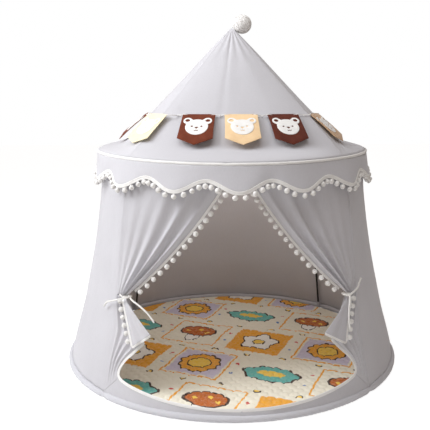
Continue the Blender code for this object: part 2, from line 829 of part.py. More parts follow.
def hem_edge(share, side):
    """The curtain's front edge: its point, the way on past it to the other curtain, and the way out."""
    point = polar(*hem_at(share))
    run = (polar(*hem_at(share + 0.01)) - polar(*hem_at(share - 0.01))).normalized()
    across = run.cross(outward(hem_at(share)[0])).normalized()
    across = -across if across.x > 0 else across
    out = run.cross(across).normalized()
    out = -out if out.y > 0 else out
    mirror = Vector((side, 1.0, 1.0))
    return point * mirror, across * mirror, out * mirror


def curtain(name, side):
    """One curtain, from the eave to its tie, in folds that run together at the tie."""

    def place(i, j, k):
        across, down = i / CURTAIN_COLUMNS, j / CURTAIN_ROWS
        hem_azimuth, hem_radius, hem_height = hem_at(down)
        azimuth = lerp(HALF_PANEL, hem_azimuth, across)
        seam_height = lerp(wall_top_z(HALF_PANEL), TIE_HEIGHT + TIE_RADIUS + GAP, down)
        height = lerp(seam_height, hem_height, across) if down > 0 else wall_top_z(azimuth)
        radius = lerp(wall_radius(HALF_PANEL, seam_height), hem_radius, across)
        fold = CURTAIN_FOLD * down * math.sin(math.pi * CURTAIN_FOLDS * across) ** 2
        radius += fold - CLOTH * k
        return polar(side * trimmed(azimuth, HALF_PANEL, radius, GAP), radius, height)

    bent_slab(name, CURTAIN_COLUMNS, CURTAIN_ROWS, place, GREY_CLOTH)


def hem_trim(name, side):
    """The white tape and pompoms along the front edge of a curtain, down to the tie."""
    start, end = HEM_START_SHARE, 1 - (KNOT_RADIUS + HEM_WIDTH) / (EAVE_HEIGHT - TIE_HEIGHT)
    length = (polar(*hem_at(end)) - polar(*hem_at(start))).length
    pompom_tape(name, lambda share: hem_edge(lerp(start, end, share), side), HEM_COLUMNS, HEM_WIDTH,
                evenly(length, HEM_PITCH))


def flap_corners():
    """(azimuth, height) of the flap's neck, its pompom corner and its folded corner."""
    top = TIE_HEIGHT - TIE_RADIUS - GAP
    front, radius = tie_knot(), tie_radius_at()
    neck_low = (front + FLAP_NECK / radius, top)
    neck_fold = (front + SLACK / radius, top)
    corner = (front - FLAP_LEAN / radius, top - FLAP_LENGTH)
    fold = (corner[0] - FLAP_WIDTH / radius, corner[1] + FLAP_RISE)
    return neck_low, neck_fold, corner, fold


def flap_down(share):
    """How far down the flap a share of its rows lies: they start close together, where it bends out."""
    return share ** FLAP_SPACING_SHARE


def flap_place(across, down):
    """(azimuth, radius, height) on the flap, which hangs from under the tie, in front of the foot."""
    neck_low, neck_fold, corner, fold = flap_corners()
    edge = [lerp(a, b, down) for a, b in zip(neck_low, corner)]
    far = [lerp(a, b, down) for a, b in zip(neck_fold, fold)]
    azimuth, height = (lerp(a, b, across) for a, b in zip(edge, far))
    taped = neck_low[0] + HEM_WIDTH / tie_radius_at()
    neck = door_radius(taped, neck_low[1]) + FOOT_FOLD + TAPE_THICKNESS
    stand = FOOT_FOLD + POMPOM_RADIUS + CLOTH + SLACK
    radius = lerp(neck, door_radius(azimuth, height) + stand, min(1.0, down / flap_down(1 / FLAP_ROWS)))
    return azimuth, radius + FLAP_FOLD * down * math.sin(math.pi * across * 2) ** 2, height


def curtain_flap(name, side):
    """The loose corner of the curtain that hangs under its tie."""

    def place(i, j, k):
        azimuth, radius, height = flap_place(i / FLAP_COLUMNS, flap_down(j / FLAP_ROWS))
        return polar(side * azimuth, radius - CLOTH * k, height)

    bent_slab(name, FLAP_COLUMNS, FLAP_ROWS, place, GREY_CLOTH)


def flap_edge(share, side):
    """The flap's free edges, down its front and along its foot: point, way on past it and way out."""
    across, down = max(0.0, 2 * share - 1), flap_down(min(1.0, 2 * share))
    azimuth, radius, height = flap_place(across, down)
    out = outward(azimuth)
    beside = out.cross(Vector((0.0, 0.0, -1.0)))
    turn = 0.5 if abs(share - 0.5) < 0.01 else round(share)
    way = (beside * (1 - turn) - Vector((0.0, 0.0, 1.0)) * turn).normalized()
    mirror = Vector((side, 1.0, 1.0))
    return (polar(azimuth, radius, height) + way * GAP) * mirror, way * mirror, out * mirror


def flap_trim(name, side):
    """White tape round the flap's free edges, with pompoms down its front edge."""
    shares = [share ** (1 / FLAP_SPACING_SHARE) / 2 for share in evenly(FLAP_LENGTH, HEM_PITCH)]
    pompom_tape(name, lambda share: flap_edge(share, side), 2 * FLAP_ROWS, HEM_WIDTH, shares)


def tie(name, side, ends):
    """A cord round the gathered curtain, knotted, with two loose ends."""
    middle, radius = tie_middle(), bundle_radius()
    mirror = Vector((side, 1.0, 1.0))
    loop = []
    for step in range(LOOP_STEPS):
        angle = 2 * math.pi * step / LOOP_STEPS
        azimuth = middle - TIE_LOOP_HALF_WIDTH * math.cos(angle) / radius
        loop.append(polar(azimuth, radius + TIE_LOOP_HALF_DEPTH * math.sin(angle), TIE_HEIGHT) * mirror)
    made = cord(name, loop, TIE_RADIUS, WHITE_TRIM, closed=True)
    knot = polar(tie_knot() - (KNOT_RADIUS + GAP) / radius, radius, TIE_HEIGHT) * mirror
    combine(made, ball(name + "_knot", knot, KNOT_RADIUS, KNOT_RINGS, None, helpers), "UNION")
    for k, route in enumerate(ends):
        points = [(side * azimuth, reach, height) for azimuth, reach, height in route]
        smooth_points = [polar(*spline(points, s / TIE_END_STEPS)) for s in range(TIE_END_STEPS + 1)]
        end = cord(f"{name}_end_{k}", smooth_points, TIE_RADIUS * TIE_END_SHARE, None, collection=helpers)
        combine(made, end, "UNION")


# Bunting


def section_radius(azimuth, height):
    """Outer face of the roof at a height."""
    low = roof_foot_z(azimuth)
    return roof_at(azimuth, (height - low) / (APEX_HEIGHT - low))[0]


def bunting_z():
    return lerp(roof_foot_z(0.0), APEX_HEIGHT, BUNTING_HEIGHT_SHARE)


def flag_places():
    """For each flag: the middle of its hinge line, its unit vectors across, up and out."""
    height = bunting_z()
    mean = (section_radius(0.0, height) + section_radius(HALF_PANEL, height)) / 2
    pitch = (FLAG_WIDTH + FLAG_SPACE) / mean
    half = FLAG_WIDTH / 2 + SLACK
    found = []
    for k in range(FLAGS):
        azimuth = math.radians(FLAGS_MIDDLE_DEG) + (k - (FLAGS - 1) / 2) * pitch
        turn = half / mean
        left = polar(azimuth - turn, section_radius(azimuth - turn, height), height)
        right = polar(azimuth + turn, section_radius(azimuth + turn, height), height)
        across = (right - left).normalized()
        out = across.cross(Vector((0.0, 0.0, 1.0)))
        centre = (left + right) / 2

        def reach(level):
            """How far the roof comes out at a level, over the flag's width."""
            steps = [azimuth + turn * s / 8 for s in range(-9, 10)]
            return max((polar(a, section_radius(a, level), level) - centre).dot(out) for a in steps)

        top = reach(height)
        lean = 0.0
        for _ in range(4):
            drops = [FLAG_LENGTH * math.cos(lean) * s / 12 for s in range(1, 13)]
            lean = max(lean, math.atan(max((reach(height - drop) - top) / drop for drop in drops)))
        up = (Vector((0.0, 0.0, 1.0)) * math.cos(lean) - out * math.sin(lean)).normalized()
        origin = centre + out * (top + (CORD_RADIUS + GAP) / math.cos(lean))
        found.append((origin, across, up, across.cross(up).normalized()))
    return found


def bunting_cord(places):
    """The cord lies on the roof and runs straight behind each flag."""
    height = bunting_z()
    half = FLAG_WIDTH / 2 + SLACK
    points = []
    for origin, across, up, out in places:
        points += [origin - across * half, origin, origin + across * half]
    first, last = points[0], points[-1]
    start = math.atan2(last.x, -last.y)
    sweep = (math.atan2(first.x, -first.y) - start) % (2 * math.pi)
    column = 2 * HALF_PANEL / PANEL_COLUMNS
    for step in range(math.ceil(start / column), math.ceil((start + sweep) / column)):
        azimuth = step * column
        points.append(polar(azimuth, section_radius(azimuth, height) + CORD_RADIUS + SLACK, height))
    cord("bunting_cord", points, CORD_RADIUS, WHITE_TRIM, closed=True)


def flag_outline():
    half, low = FLAG_WIDTH / 2, FLAG_HEAD - FLAG_LENGTH
    point = low + FLAG_POINT
    outline = [(-half, FLAG_HEAD), (-half, point), (0.0, low), (half, point), (half, FLAG_HEAD)]
    slots = []
    for side in (-1, 1):
        far = side * (half - FLAG_SLOT_EDGE)
        near = far - side * FLAG_SLOT
        slots.append([(far, 0.0), (near, 0.0), (near, -FLAG_SLOT_HEIGHT), (far, -FLAG_SLOT_HEIGHT)])
    return [outline, *slots]


def face_outline():
    """A bear's head: an oval with two round ears, and its ears, eyes, nose and smile cut out."""
    wide, tall = FACE_WIDTH / 2, FACE_HEIGHT / 2
    ear = (wide * 0.86, tall * 0.80)
    outline = []
    for step in range(FACE_STEPS):
        angle = 2 * math.pi * (step + 0.5) / FACE_STEPS
        way = (math.cos(angle), math.sin(angle))
        reach = 1 / math.hypot(way[0] / wide, way[1] / tall)
        for side in (-1, 1):
            along = side * ear[0] * way[0] + ear[1] * way[1]
            off = side * ear[0] * way[1] - ear[1] * way[0]
            if along > 0 and abs(off) < EAR_RADIUS:
                reach = max(reach, along + math.sqrt(EAR_RADIUS ** 2 - off ** 2))
        outline.append((reach * way[0], reach * way[1]))
    holes = []
    for side in (-1, 1):
        holes.append(round_shape((side * ear[0] * 1.04, ear[1] * 1.06), EAR_RADIUS * 0.5, EAR_RADIUS * 0.42, 5))
        holes.append(round_shape((side * wide * 0.42, tall * 0.05), wide * 0.085, tall * 0.10, 4))
    for shares in (NOSE_SHARES, SMILE_SHARES):
        holes.append([(wide * across, tall * up) for across, up in shares])
    return [outline, *holes]


def flags():
    places = flag_places()
    bunting_cord(places)
    for k, (origin, across, up, out) in enumerate(places, start=1):
        pose = Matrix((across, up, out)).transposed().to_4x4()
        hinge = bpy.data.objects.new(f"flag_{k}_hinge", None)
        parts.objects.link(hinge)
        hinge.matrix_world = Matrix.Translation(origin) @ pose
        felt = BROWN_FELT if k % 2 else CREAM_FELT
        flag = flat_shape(f"flag_{k}", flag_outline(), FLAG_THICKNESS, felt)
        flag.parent = hinge
        flag.location.z = CORD_RADIUS + GAP + FLAG_THICKNESS / 2
        face = flat_shape(f"flag_{k}_bear", face_outline(), FACE_THICKNESS, WHITE_FELT)
        face.parent = hinge
        face.location = (0.0, FLAG_HEAD - FACE_DROP,
                         CORD_RADIUS + 2 * GAP + FLAG_THICKNESS + FACE_THICKNESS / 2)


# Pompom on the tip


def top_pivot():
    """The pompom's small knot sits in the open end of the roof's tip and turns there."""
    rim_z = roof_at(0.0, 1 - TIP_RADIUS / EAVE_RADIUS)[1]
    hole = TIP_RADIUS - CLOTH
    return Vector((0.0, 0.0, rim_z + math.sqrt((TOP_KNOT_RADIUS + 3 * GAP) ** 2 - hole ** 2)))


def top_lean():
    """How far the pompom leans to the right, until it rests on the roof."""
    high = roof_at(2 * HALF_PANEL, 1 - TIP_RADIUS / EAVE_RADIUS)
    low = roof_at(2 * HALF_PANEL, ROOF_FLARE_SHARE)
    slope = math.atan2(low[0] - high[0], high[1] - low[1])
    pivot = top_pivot().z
    beside = -high[0] * math.cos(slope) + (pivot - high[1]) * math.sin(slope)
    return math.pi - slope - math.asin((TOP_POMPOM_RADIUS + GAP - beside) / TOP_POMPOM_REACH)


def top_pompom():
    """A ball of yarn on a short stem with a knot at its lower end."""
    centre = TOP_POMPOM_REACH
    outline = [(0.0, centre + TOP_POMPOM_RADIUS)]
    first = math.asin(TOP_STEM_RADIUS / TOP_POMPOM_RADIUS)
    for step in range(1, POMPOM_STEPS + 1):
        angle = lerp(0.0, math.pi - first, step / POMPOM_STEPS)
        outline.append((TOP_POMPOM_RADIUS * math.sin(angle), centre + TOP_POMPOM_RADIUS * math.cos(angle)))
    start = math.asin(TOP_STEM_RADIUS / TOP_KNOT_RADIUS)
    for step in range(TOP_KNOT_STEPS + 1):
        angle = lerp(start, math.pi, step / TOP_KNOT_STEPS)
        reach = 0.0 if step == TOP_KNOT_STEPS else TOP_KNOT_RADIUS * math.sin(angle)
        outline.append((reach, TOP_KNOT_RADIUS * math.cos(angle)))
    made = turned("top_pompom", outline, TOP_POMPOM_SIDES, WHITE_TRIM)
    made.location = top_pivot()
    made.rotation_euler.y = top_lean()


# The tent


def tie_routes():
    """The loose ends' points, as (azimuth, radius, height) on the right: the left tie's, then the right's."""
    knot, radius = tie_knot() - (KNOT_RADIUS + GAP) / bundle_radius(), bundle_radius()
    deg = math.radians
    clear = TIE_RADIUS + SLACK
    front = radius + TIE_LOOP_HALF_DEPTH + 2 * clear
    start = [(knot, radius, TIE_HEIGHT), (knot - deg(0.6), radius + 1.5 * clear, TIE_HEIGHT),
             (knot + deg(0.2), front, TIE_HEIGHT)]
    left = [
        start + [(deg(44), front + 3 * clear, TIE_HEIGHT * 0.96),
                 (deg(48.5), front + clear, TIE_HEIGHT * 0.91),
                 (deg(51), wall_radius(deg(51), TIE_HEIGHT * 0.85) + 1.4 * clear, TIE_HEIGHT * 0.85)],
        [start[0], (knot - deg(1.8), radius + 2 * clear, TIE_HEIGHT * 0.985),
         (knot - deg(5), radius + 2 * clear, TIE_HEIGHT * 0.945),
         (knot - deg(8.5), radius + 2 * clear, TIE_HEIGHT * 0.885),
         (knot - deg(11), radius + 2 * clear, TIE_HEIGHT * 0.81)],
    ]
    right = [
        start + [(deg(44), front, TIE_HEIGHT * 1.04), (deg(46.5), radius + 3 * clear, TIE_HEIGHT * 1.08),
                 (deg(48.5), wall_radius(deg(48.5), TIE_HEIGHT * 1.11) + 1.6 * clear, TIE_HEIGHT * 1.11)],
        start + [(knot - deg(0.8), front + 2 * clear, TIE_HEIGHT * 0.95),
                 (knot - deg(1.6), front + 3 * clear, TIE_HEIGHT * 0.87),
                 (knot - deg(2.1), front + 4 * clear, TIE_HEIGHT * 0.78),
                 (knot - deg(2.0), front + 5 * clear, TIE_HEIGHT * 0.69)],
    ]
    return left, right


def build():
    for old in list(bpy.data.objects):
        bpy.data.objects.remove(old)
    bpy.context.scene.collection.children.link(parts)
    bpy.context.scene.collection.children.link(helpers)
    corners = {"front_left": -HALF_PANEL, "front_right": HALF_PANEL,
               "back_right": 3 * HALF_PANEL, "back_left": -3 * HALF_PANEL}
    floor_sheet()
    base_ring()
    mat()
    wall("left_wall", -2 * HALF_PANEL)
    wall("right_wall", 2 * HALF_PANEL)
    wall("back_wall", 4 * HALF_PANEL)
    ring_sleeve("eave_piping", EAVE_RADIUS, eave_z, PIPING_RADIUS, PIPING_WALL, PIPING_SIDES,
                math.radians(PIPING_SLIT_DEG))
    hoop("eave_hoop", EAVE_RADIUS, eave_z, EAVE_HOOP_RADIUS, STEEL_HOOP)
    for name, middle in (("front", 0), ("right", 2), ("back", 4), ("left", -2)):
        roof_panel(f"roof_panel_{name}", middle * HALF_PANEL)
    for name, azimuth in corners.items():
        wall_pole(f"wall_pole_{name}", azimuth)
        roof_pole(f"roof_pole_{name}", azimuth)
        elbow(f"eave_elbow_{name}", azimuth)
        pole_pocket(f"pole_pocket_{name}", azimuth)
    top_hub(corners.values())
    valance()
    front_sill()
    door_binding()
    left_ends, right_ends = tie_routes()
    for name, side, ends in (("left", -1, left_ends), ("right", 1, right_ends)):
        curtain(f"{name}_curtain", side)
        hem_trim(f"{name}_hem_trim", side)
        curtain_foot(f"{name}_curtain_foot", side)
        curtain_flap(f"{name}_curtain_flap", side)
        flap_trim(f"{name}_flap_trim", side)
        tie(f"{name}_tie", side, ends)
    flags()
    top_pompom()


build()
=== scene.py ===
# The looks of a round play tent: cloth, trim, felt bunting, ties and a quilted mat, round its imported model.
# Metres, +Z up, the door faces -Y. Azimuths run from -Y towards +X.
import json
import math
import random

import bmesh
import bpy
from mathutils import Matrix, Vector, noise

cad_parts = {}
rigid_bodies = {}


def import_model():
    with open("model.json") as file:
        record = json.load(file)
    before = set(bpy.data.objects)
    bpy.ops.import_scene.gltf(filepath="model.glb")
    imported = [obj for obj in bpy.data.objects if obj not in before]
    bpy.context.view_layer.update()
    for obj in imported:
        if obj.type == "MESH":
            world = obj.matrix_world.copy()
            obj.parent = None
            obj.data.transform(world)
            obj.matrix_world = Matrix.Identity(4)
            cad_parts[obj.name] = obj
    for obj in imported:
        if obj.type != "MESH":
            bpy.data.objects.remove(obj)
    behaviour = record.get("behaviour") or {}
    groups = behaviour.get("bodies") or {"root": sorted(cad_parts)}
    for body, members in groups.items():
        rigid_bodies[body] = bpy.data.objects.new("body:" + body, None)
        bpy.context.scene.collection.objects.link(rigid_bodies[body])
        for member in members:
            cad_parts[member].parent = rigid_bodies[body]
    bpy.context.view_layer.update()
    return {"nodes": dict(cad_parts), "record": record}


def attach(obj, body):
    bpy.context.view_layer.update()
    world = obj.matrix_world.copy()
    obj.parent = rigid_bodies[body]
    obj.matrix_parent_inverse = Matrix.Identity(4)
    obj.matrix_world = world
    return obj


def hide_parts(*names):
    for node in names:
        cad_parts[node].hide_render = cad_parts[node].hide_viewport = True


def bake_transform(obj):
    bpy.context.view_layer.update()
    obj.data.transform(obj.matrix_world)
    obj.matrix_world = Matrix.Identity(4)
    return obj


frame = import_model()
cadJoints = {joint["name"]: joint for joint in frame["record"]["behaviour"]["joints"]}
print("frame loaded:", len(frame["nodes"]), "nodes")


# Camera, at the photograph's place: it looks a little down at the door, from 2.6 m away

cameraPlan = {
    "distance": 2.5795,
    "height": 1.0395,
    "turnDeg": 2.5185,  # how far the door is turned from the camera
    "downDeg": 10.40,
    "lens": 53.27,
    "sensor": 36.0,
    "shiftX": -0.0393,
    "clipStart": 0.05,
}


def addToScene(name, data):
    made = bpy.data.objects.new(name, data)
    bpy.context.scene.collection.objects.link(made)
    return made


def aim(made, place, way):
    made.location = place
    made.rotation_mode = "QUATERNION"
    made.rotation_quaternion = way.to_track_quat("-Z", "Y")


def makeCamera(plan):
    turn, down = math.radians(plan["turnDeg"]), math.radians(plan["downDeg"])
    data = bpy.data.cameras.new("camera")
    data.lens = plan["lens"]
    data.sensor_width = plan["sensor"]
    data.shift_x = plan["shiftX"]
    data.clip_start = plan["clipStart"]
    level = Vector((math.sin(turn), math.cos(turn), 0.0))
    up = Vector((0.0, 0.0, 1.0))
    camera = addToScene("camera", data)
    aim(camera, up * plan["height"] - level * plan["distance"], level * math.cos(down) - up * math.sin(down))
    bpy.context.scene.camera = camera


makeCamera(cameraPlan)
print("camera placed")


# Small tools for places and shares

seedGap = 7.31  # between the slices of noise that two seeds read


def lerp(a, b, share):
    return a + (b - a) * share


def smooth(share):
    share = min(1.0, max(0.0, share))
    return share * share * (3 - 2 * share)


def bell(off, width):  # 1 in the middle and nearly 0 two widths away
    return math.exp(-(off / width) ** 2)


def arch(share):  # 0 at both ends and 1 halfway
    return math.sin(math.pi * share)


def polar(azimuth, radius, height):
    return Vector((radius * math.sin(azimuth), -radius * math.cos(azimuth), height))


def azimuthOf(point):
    return math.atan2(point.x, -point.y)


def outward(azimuth):
    return polar(azimuth, 1.0, 0.0)


def spline(points, share):  # a smooth curve through points
    last = len(points) - 1
    place = min(max(share, 0.0), 1.0) * last
    i = min(int(place), last - 1)
    t = place - i
    a, b, c, d = (points[min(max(k, 0), last)] for k in (i - 1, i, i + 1, i + 2))
    return tuple(
        0.5 * (2 * q + (r - p) * t + (2 * p - 5 * q + 4 * r - s) * t * t + (3 * q - p - 3 * r + s) * t ** 3)
        for p, q, r, s in zip(a, b, c, d)
    )


def wander(seed, x, y=0.0):  # smooth noise between about -1 and 1
    return noise.noise(Vector((x, y, seedGap * seed + 0.5)))


def evenShares(count):
    return [k / count for k in range(count + 1)]


def turns(count):  # even angles round a circle
    return [2 * math.pi * k / count for k in range(count)]


def circle(count):  # the sines and cosines of those angles
    return [(math.sin(angle), math.cos(angle)) for angle in turns(count)]


# Where the cloth lies, as in the solids

tent = {
    "baseRadius": 0.675,
    "sleeveRadius": 0.012,
    "eaveRadius": 0.529,
    "eaveHeight": 0.829,
    "eaveLift": 0.012,
    "pipingRadius": 0.0055,
    "wallInset": 0.0012,
    "apexHeight": 1.313,
    "tipRadius": 0.006,
    "panelDip": 0.033,
    "dipShare": 2.6,
    "seamDrawShares": (0.0, 0.35, 0.90, 0.95, 0.80, 0.20, -0.45, -0.45, 0.0),
    "roofFlatShare": 0.852,
    "roofFlareShare": 0.085,
    "cloth": 0.0016,
    "poleRadius": 0.0045,
    "poleFootRadius": 0.6450,
    "poleTopRadius": 0.5138,
    "gap": 0.0003,
    "slack": 0.002,
}
halfPanel = math.radians(45)
panel = 2 * halfPanel
corners = ("front_left", "front_right", "back_right", "back_left")
wallTopRadius = tent["eaveRadius"] - tent["wallInset"]
wallFootRadius = tent["baseRadius"] - tent["sleeveRadius"]
wallFootHeight = 2 * tent["sleeveRadius"]


def eaveZ(azimuth):
    return tent["eaveHeight"] + tent["eaveLift"] * math.sin(azimuth) ** 2


def wallTopZ(azimuth):
    return eaveZ(azimuth) - tent["pipingRadius"]


def fromPanelMiddle(azimuth):
    return (azimuth + halfPanel) % panel - halfPanel


def seamRadius(share):
    # A corner seam runs straight between the hoops, but for where it is drawn to its pole.
    line = lerp(wallFootRadius, wallTopRadius, share)
    height = lerp(wallFootHeight, wallTopZ(halfPanel), share)
    pole = lerp(tent["poleFootRadius"], tent["poleTopRadius"], height / eaveZ(halfPanel))
    pole += tent["poleRadius"] + 2 * tent["gap"]
    drawn, = spline([(value,) for value in tent["seamDrawShares"]], share)
    return line - (line - tent["cloth"] - pole) * drawn


def wallRadius(azimuth, height):
    share = (height - wallFootHeight) / (wallTopZ(azimuth) - wallFootHeight)
    share = min(1.0, max(0.0, share))
    dip = tent["panelDip"] * arch(share ** tent["dipShare"])
    return seamRadius(share) - dip * math.cos(2 * fromPanelMiddle(azimuth))


def roofAt(azimuth, share):
    # The roof is round at the eave and flatter in the middle of each panel above it.
    flat = (1 - tent["roofFlatShare"]) * smooth(share / tent["roofFlareShare"])
    radius = (tent["eaveRadius"] + tent["cloth"] / 2) * (1 - share)
    radius *= 1 - flat * math.cos(2 * fromPanelMiddle(azimuth))
    return radius, lerp(eaveZ(azimuth) + tent["pipingRadius"], tent["apexHeight"], share)


def roofRadius(azimuth, height):
    low = eaveZ(azimuth) + tent["pipingRadius"]
    return roofAt(azimuth, (height - low) / (tent["apexHeight"] - low))[0]


# Shader expressions

def paint(red, green, blue):  # a colour as it looks on a screen, 0 to 255
    return tuple(((c / 255 + 0.055) / 1.055) ** 2.4 for c in (red, green, blue)) + (1.0,)


class Wire:
    # Wraps a socket. Sums on numbers add Math nodes, and sums on vectors add Vector Math nodes.
    def __init__(self, socket):
        self.socket = socket

    def node(self, kind, settings, sockets, out=0):
        tree = self.socket.id_data
        made = tree.nodes.new("ShaderNode" + kind)
        for name, value in settings.items():
            setattr(made, name, value)
        for name, value in sockets.items():
            if isinstance(value, Wire):
                tree.links.new(value.socket, made.inputs[name])
            else:
                made.inputs[name].default_value = value
        return Wire(made.outputs[out])

    def sum(self, operation, *values):
        kind = "VectorMath" if self.socket.type == "VECTOR" else "Math"
        return self.node(kind, {"operation": operation}, dict(enumerate(values)))

    def __add__(self, other):
        return self.sum("ADD", self, other)

    def __radd__(self, other):
        return self.sum("ADD", other, self)

    def __sub__(self, other):
        return self.sum("SUBTRACT", self, other)

    def __rsub__(self, other):
        return self.sum("SUBTRACT", other, self)

    def __mul__(self, other):
        return self.sum("MULTIPLY", self, other)

    def __rmul__(self, other):
        return self.sum("MULTIPLY", other, self)

    def __truediv__(self, other):
        return self.sum("DIVIDE", self, other)

    def __pow__(self, other):
        return self.sum("POWER", self, other)

    def __gt__(self, other):
        return self.sum("GREATER_THAN", self, other)

    def __lt__(self, other):
        return self.sum("LESS_THAN", self, other)

    def __abs__(self):
        return self.sum("ABSOLUTE", self)

    def sine(self):
        return self.sum("SINE", self)

    def parts(self):
        return [self.node("SeparateXYZ", {}, {0: self}, out) for out in range(3)]

    def noise(self, scale, detail=2.0, roughness=0.5):
        sockets = {"Vector": self, "Scale": scale, "Detail": detail, "Roughness": roughness}
        return self.node("TexNoise", {}, sockets)

    def between(self, low, high, clear=0.0, full=1.0):  # low..high becomes clear..full, and stops there
        return self.node("MapRange", {}, {0: self, 1: low, 2: high, 3: clear, 4: full})

    def colours(self, first, second):  # this share of the second colour over the first
        return self.node("Mix", {"data_type": "RGBA"}, {0: self, 6: first, 7: second}, 2)

    def bump(self, strength, distance, under=None):
        sockets = {"Height": self, "Strength": strength, "Distance": distance}
        if under:
            sockets["Normal"] = under
        return self.node("Bump", {}, sockets)


def newFinish(name, roughness, constants):
    made = bpy.data.materials.new(name)
    made.use_nodes = True
    shader = made.node_tree.nodes["Principled BSDF"]
    shader.inputs["Roughness"].default_value = roughness
    for socket, value in constants.items():
        shader.inputs[socket].default_value = value
    return made, Wire(made.node_tree.nodes.new("ShaderNodeTexCoord").outputs["Object"])


def feed(finish, **wires):
    shader = finish.node_tree.nodes["Principled BSDF"]
    for name, wire in wires.items():
        finish.node_tree.links.new(wire.socket, shader.inputs[name.replace("_", " ")])
    return finish


def roundAndUp(place):  # how far round the tent at its eave, and how far up
    x, y, z = place.parts()
    return x.sum("ARCTAN2", x, 0.0 - y) * tent["eaveRadius"], z


# Finishes

clothLook = {
    "tone": paint(203, 202, 207),
    "worn": paint(196, 195, 200),
    "roughness": 0.86,
    "roughnessRange": (0.80, 0.92),
    "sheen": 0.22,
    "threadPitch": 0.0011,
    "threadHeight": 0.00022,
    "slubScale": 260.0,
    "slubStretch": (1.0, 1.0, 0.12),
    "broadScale": 3.1,
    "creaseScale": 34.0,
    "creaseStretch": (1.0, 1.0, 0.35),
    "creaseHeight": 0.0009,
}


def wovenCloth(name, look):
    # Threads run up and round the tent; broad soft tones and faint creases lie over them.
    finish, place = newFinish(name, look["roughness"], {
        "Sheen Weight": look["sheen"], "Sheen Roughness": 0.45, "Specular IOR Level": 0.25})
    around, up = roundAndUp(place)
    step = 2 * math.pi / look["threadPitch"]
    threads = (up * step).sine() * 0.5 + (around * step).sine() * 0.5
    slubs = (place * look["slubStretch"]).noise(look["slubScale"], 3.0)
    broad = place.noise(look["broadScale"], 3.0, 0.6)
    creases = (place * look["creaseStretch"]).noise(look["creaseScale"], 4.0, 0.55)
    tone = (broad * 0.6 + slubs * 0.4).between(0.35, 0.65)
    fine = threads.bump(0.25, look["threadHeight"])
    return feed(finish, Base_Color=tone.colours(look["worn"], look["tone"]),
                Roughness=slubs.between(0.3, 0.7, *look["roughnessRange"]),
                Normal=creases.bump(0.35, look["creaseHeight"], fine))


greyCloth = wovenCloth("grey_cloth_weave", clothLook)
sillCloth = wovenCloth("grey_cloth_roll", {**clothLook, "tone": paint(208, 208, 214),
                                           "worn": paint(202, 202, 208)})
floorCloth = wovenCloth("floor_cloth_weave", {**clothLook, "tone": paint(176, 172, 170),
                                              "worn": paint(165, 161, 160)})

yarnLook = {"roughness": 0.95, "sheen": 0.35, "fibreHeight": 0.0012}


def yarn(name, tone, shade, scale):
    # Fluffy fibres: fine noise in the colour and a strong small bump.
    finish, place = newFinish(name, yarnLook["roughness"], {
        "Sheen Weight": yarnLook["sheen"], "Sheen Roughness": 0.4, "Specular IOR Level": 0.2})
    fibres = place.noise(scale, 4.0, 0.7)
    return feed(finish, Base_Color=fibres.between(0.35, 0.6).colours(shade, tone),
                Normal=fibres.bump(0.6, yarnLook["fibreHeight"]))


whiteYarn = yarn("white_yarn", paint(246, 245, 243), paint(226, 224, 222), 900.0)
softYarn = yarn("soft_white_yarn", paint(254, 253, 252), paint(248, 247, 246), 500.0)

braidLook = {
    "pitch": 0.0030, "height": 0.0006, "roughness": 0.82, "sheen": 0.2, "fuzzScale": 700.0,
    "tone": paint(249, 248, 246), "shade": paint(232, 231, 230),
}


def braid(name, look):
    # Narrow woven tape: small diagonal plaits in the bump, a slight shade between them.
    finish, place = newFinish(name, look["roughness"], {
        "Sheen Weight": look["sheen"], "Specular IOR Level": 0.3})
    around, up = roundAndUp(place)
    step = 2 * math.pi / look["pitch"]
    plait = ((around + up) * step).sine() * ((around - up) * step).sine()
    fuzz = place.noise(look["fuzzScale"], 3.0)
    return feed(finish, Base_Color=plait.between(-0.8, 0.5).colours(look["shade"], look["tone"]),
                Normal=(plait * 0.7 + fuzz * 0.5).bump(0.5, look["height"]))


whiteBraid = braid("white_braid", braidLook)

cordLook = {
    "pitch": 0.0042, "height": 0.0005, "roughness": 0.8, "sheen": 0.2, "fuzzScale": 800.0,
    "tone": paint(248, 247, 244), "shade": paint(228, 226, 223),
}


def twistedCord(name, look):
    # Strands that lie aslant, with a little fuzz over them.
    finish, place = newFinish(name, look["roughness"], {
        "Sheen Weight": look["sheen"], "Specular IOR Level": 0.3})
    x, y, z = place.parts()
    lay = ((x + y * 0.6 + z) * (2 * math.pi / look["pitch"])).sine()
    fuzz = place.noise(look["fuzzScale"], 3.0)
    return feed(finish, Base_Color=(lay * 0.5 + fuzz).between(0.0, 0.9).colours(look["shade"], look["tone"]),
                Normal=(lay * 0.6 + fuzz * 0.5).bump(0.5, look["height"]))


whiteCord = twistedCord("white_cord", cordLook)

feltLook = {"roughness": 0.95, "woolScale": 420.0, "woolHeight": 0.0007, "patchScale": 38.0}


def felt(name, tone, shade, sheen=0.3):
    finish, place = newFinish(name, feltLook["roughness"], {
        "Sheen Weight": sheen, "Sheen Roughness": 0.5, "Specular IOR Level": 0.15})
    wool = place.noise(feltLook["woolScale"], 5.0, 0.75)
    patches = place.noise(feltLook["patchScale"], 3.0)
    return feed(finish, Base_Color=(wool * 0.6 + patches * 0.4).between(0.36, 0.62).colours(shade, tone),
                Normal=wool.bump(0.55, feltLook["woolHeight"]))


brownFelt = felt("brown_felt_wool", paint(122, 62, 42), paint(98, 46, 30), 0.08)
# Painted shade: flag 5's felt is the brown felt made darker, as in shade.
shadedBrownFelt = felt("brown_felt_wool_painted_shade", paint(104, 50, 36), paint(80, 36, 26), 0.08)
creamFelt = felt("cream_felt_wool", paint(246, 215, 172), paint(234, 200, 154))
# Painted light: flag 2's felt is the cream felt made paler, as where strong light falls on it.
litCreamFelt = felt("cream_felt_wool_painted_light", paint(249, 240, 205), paint(240, 228, 190))
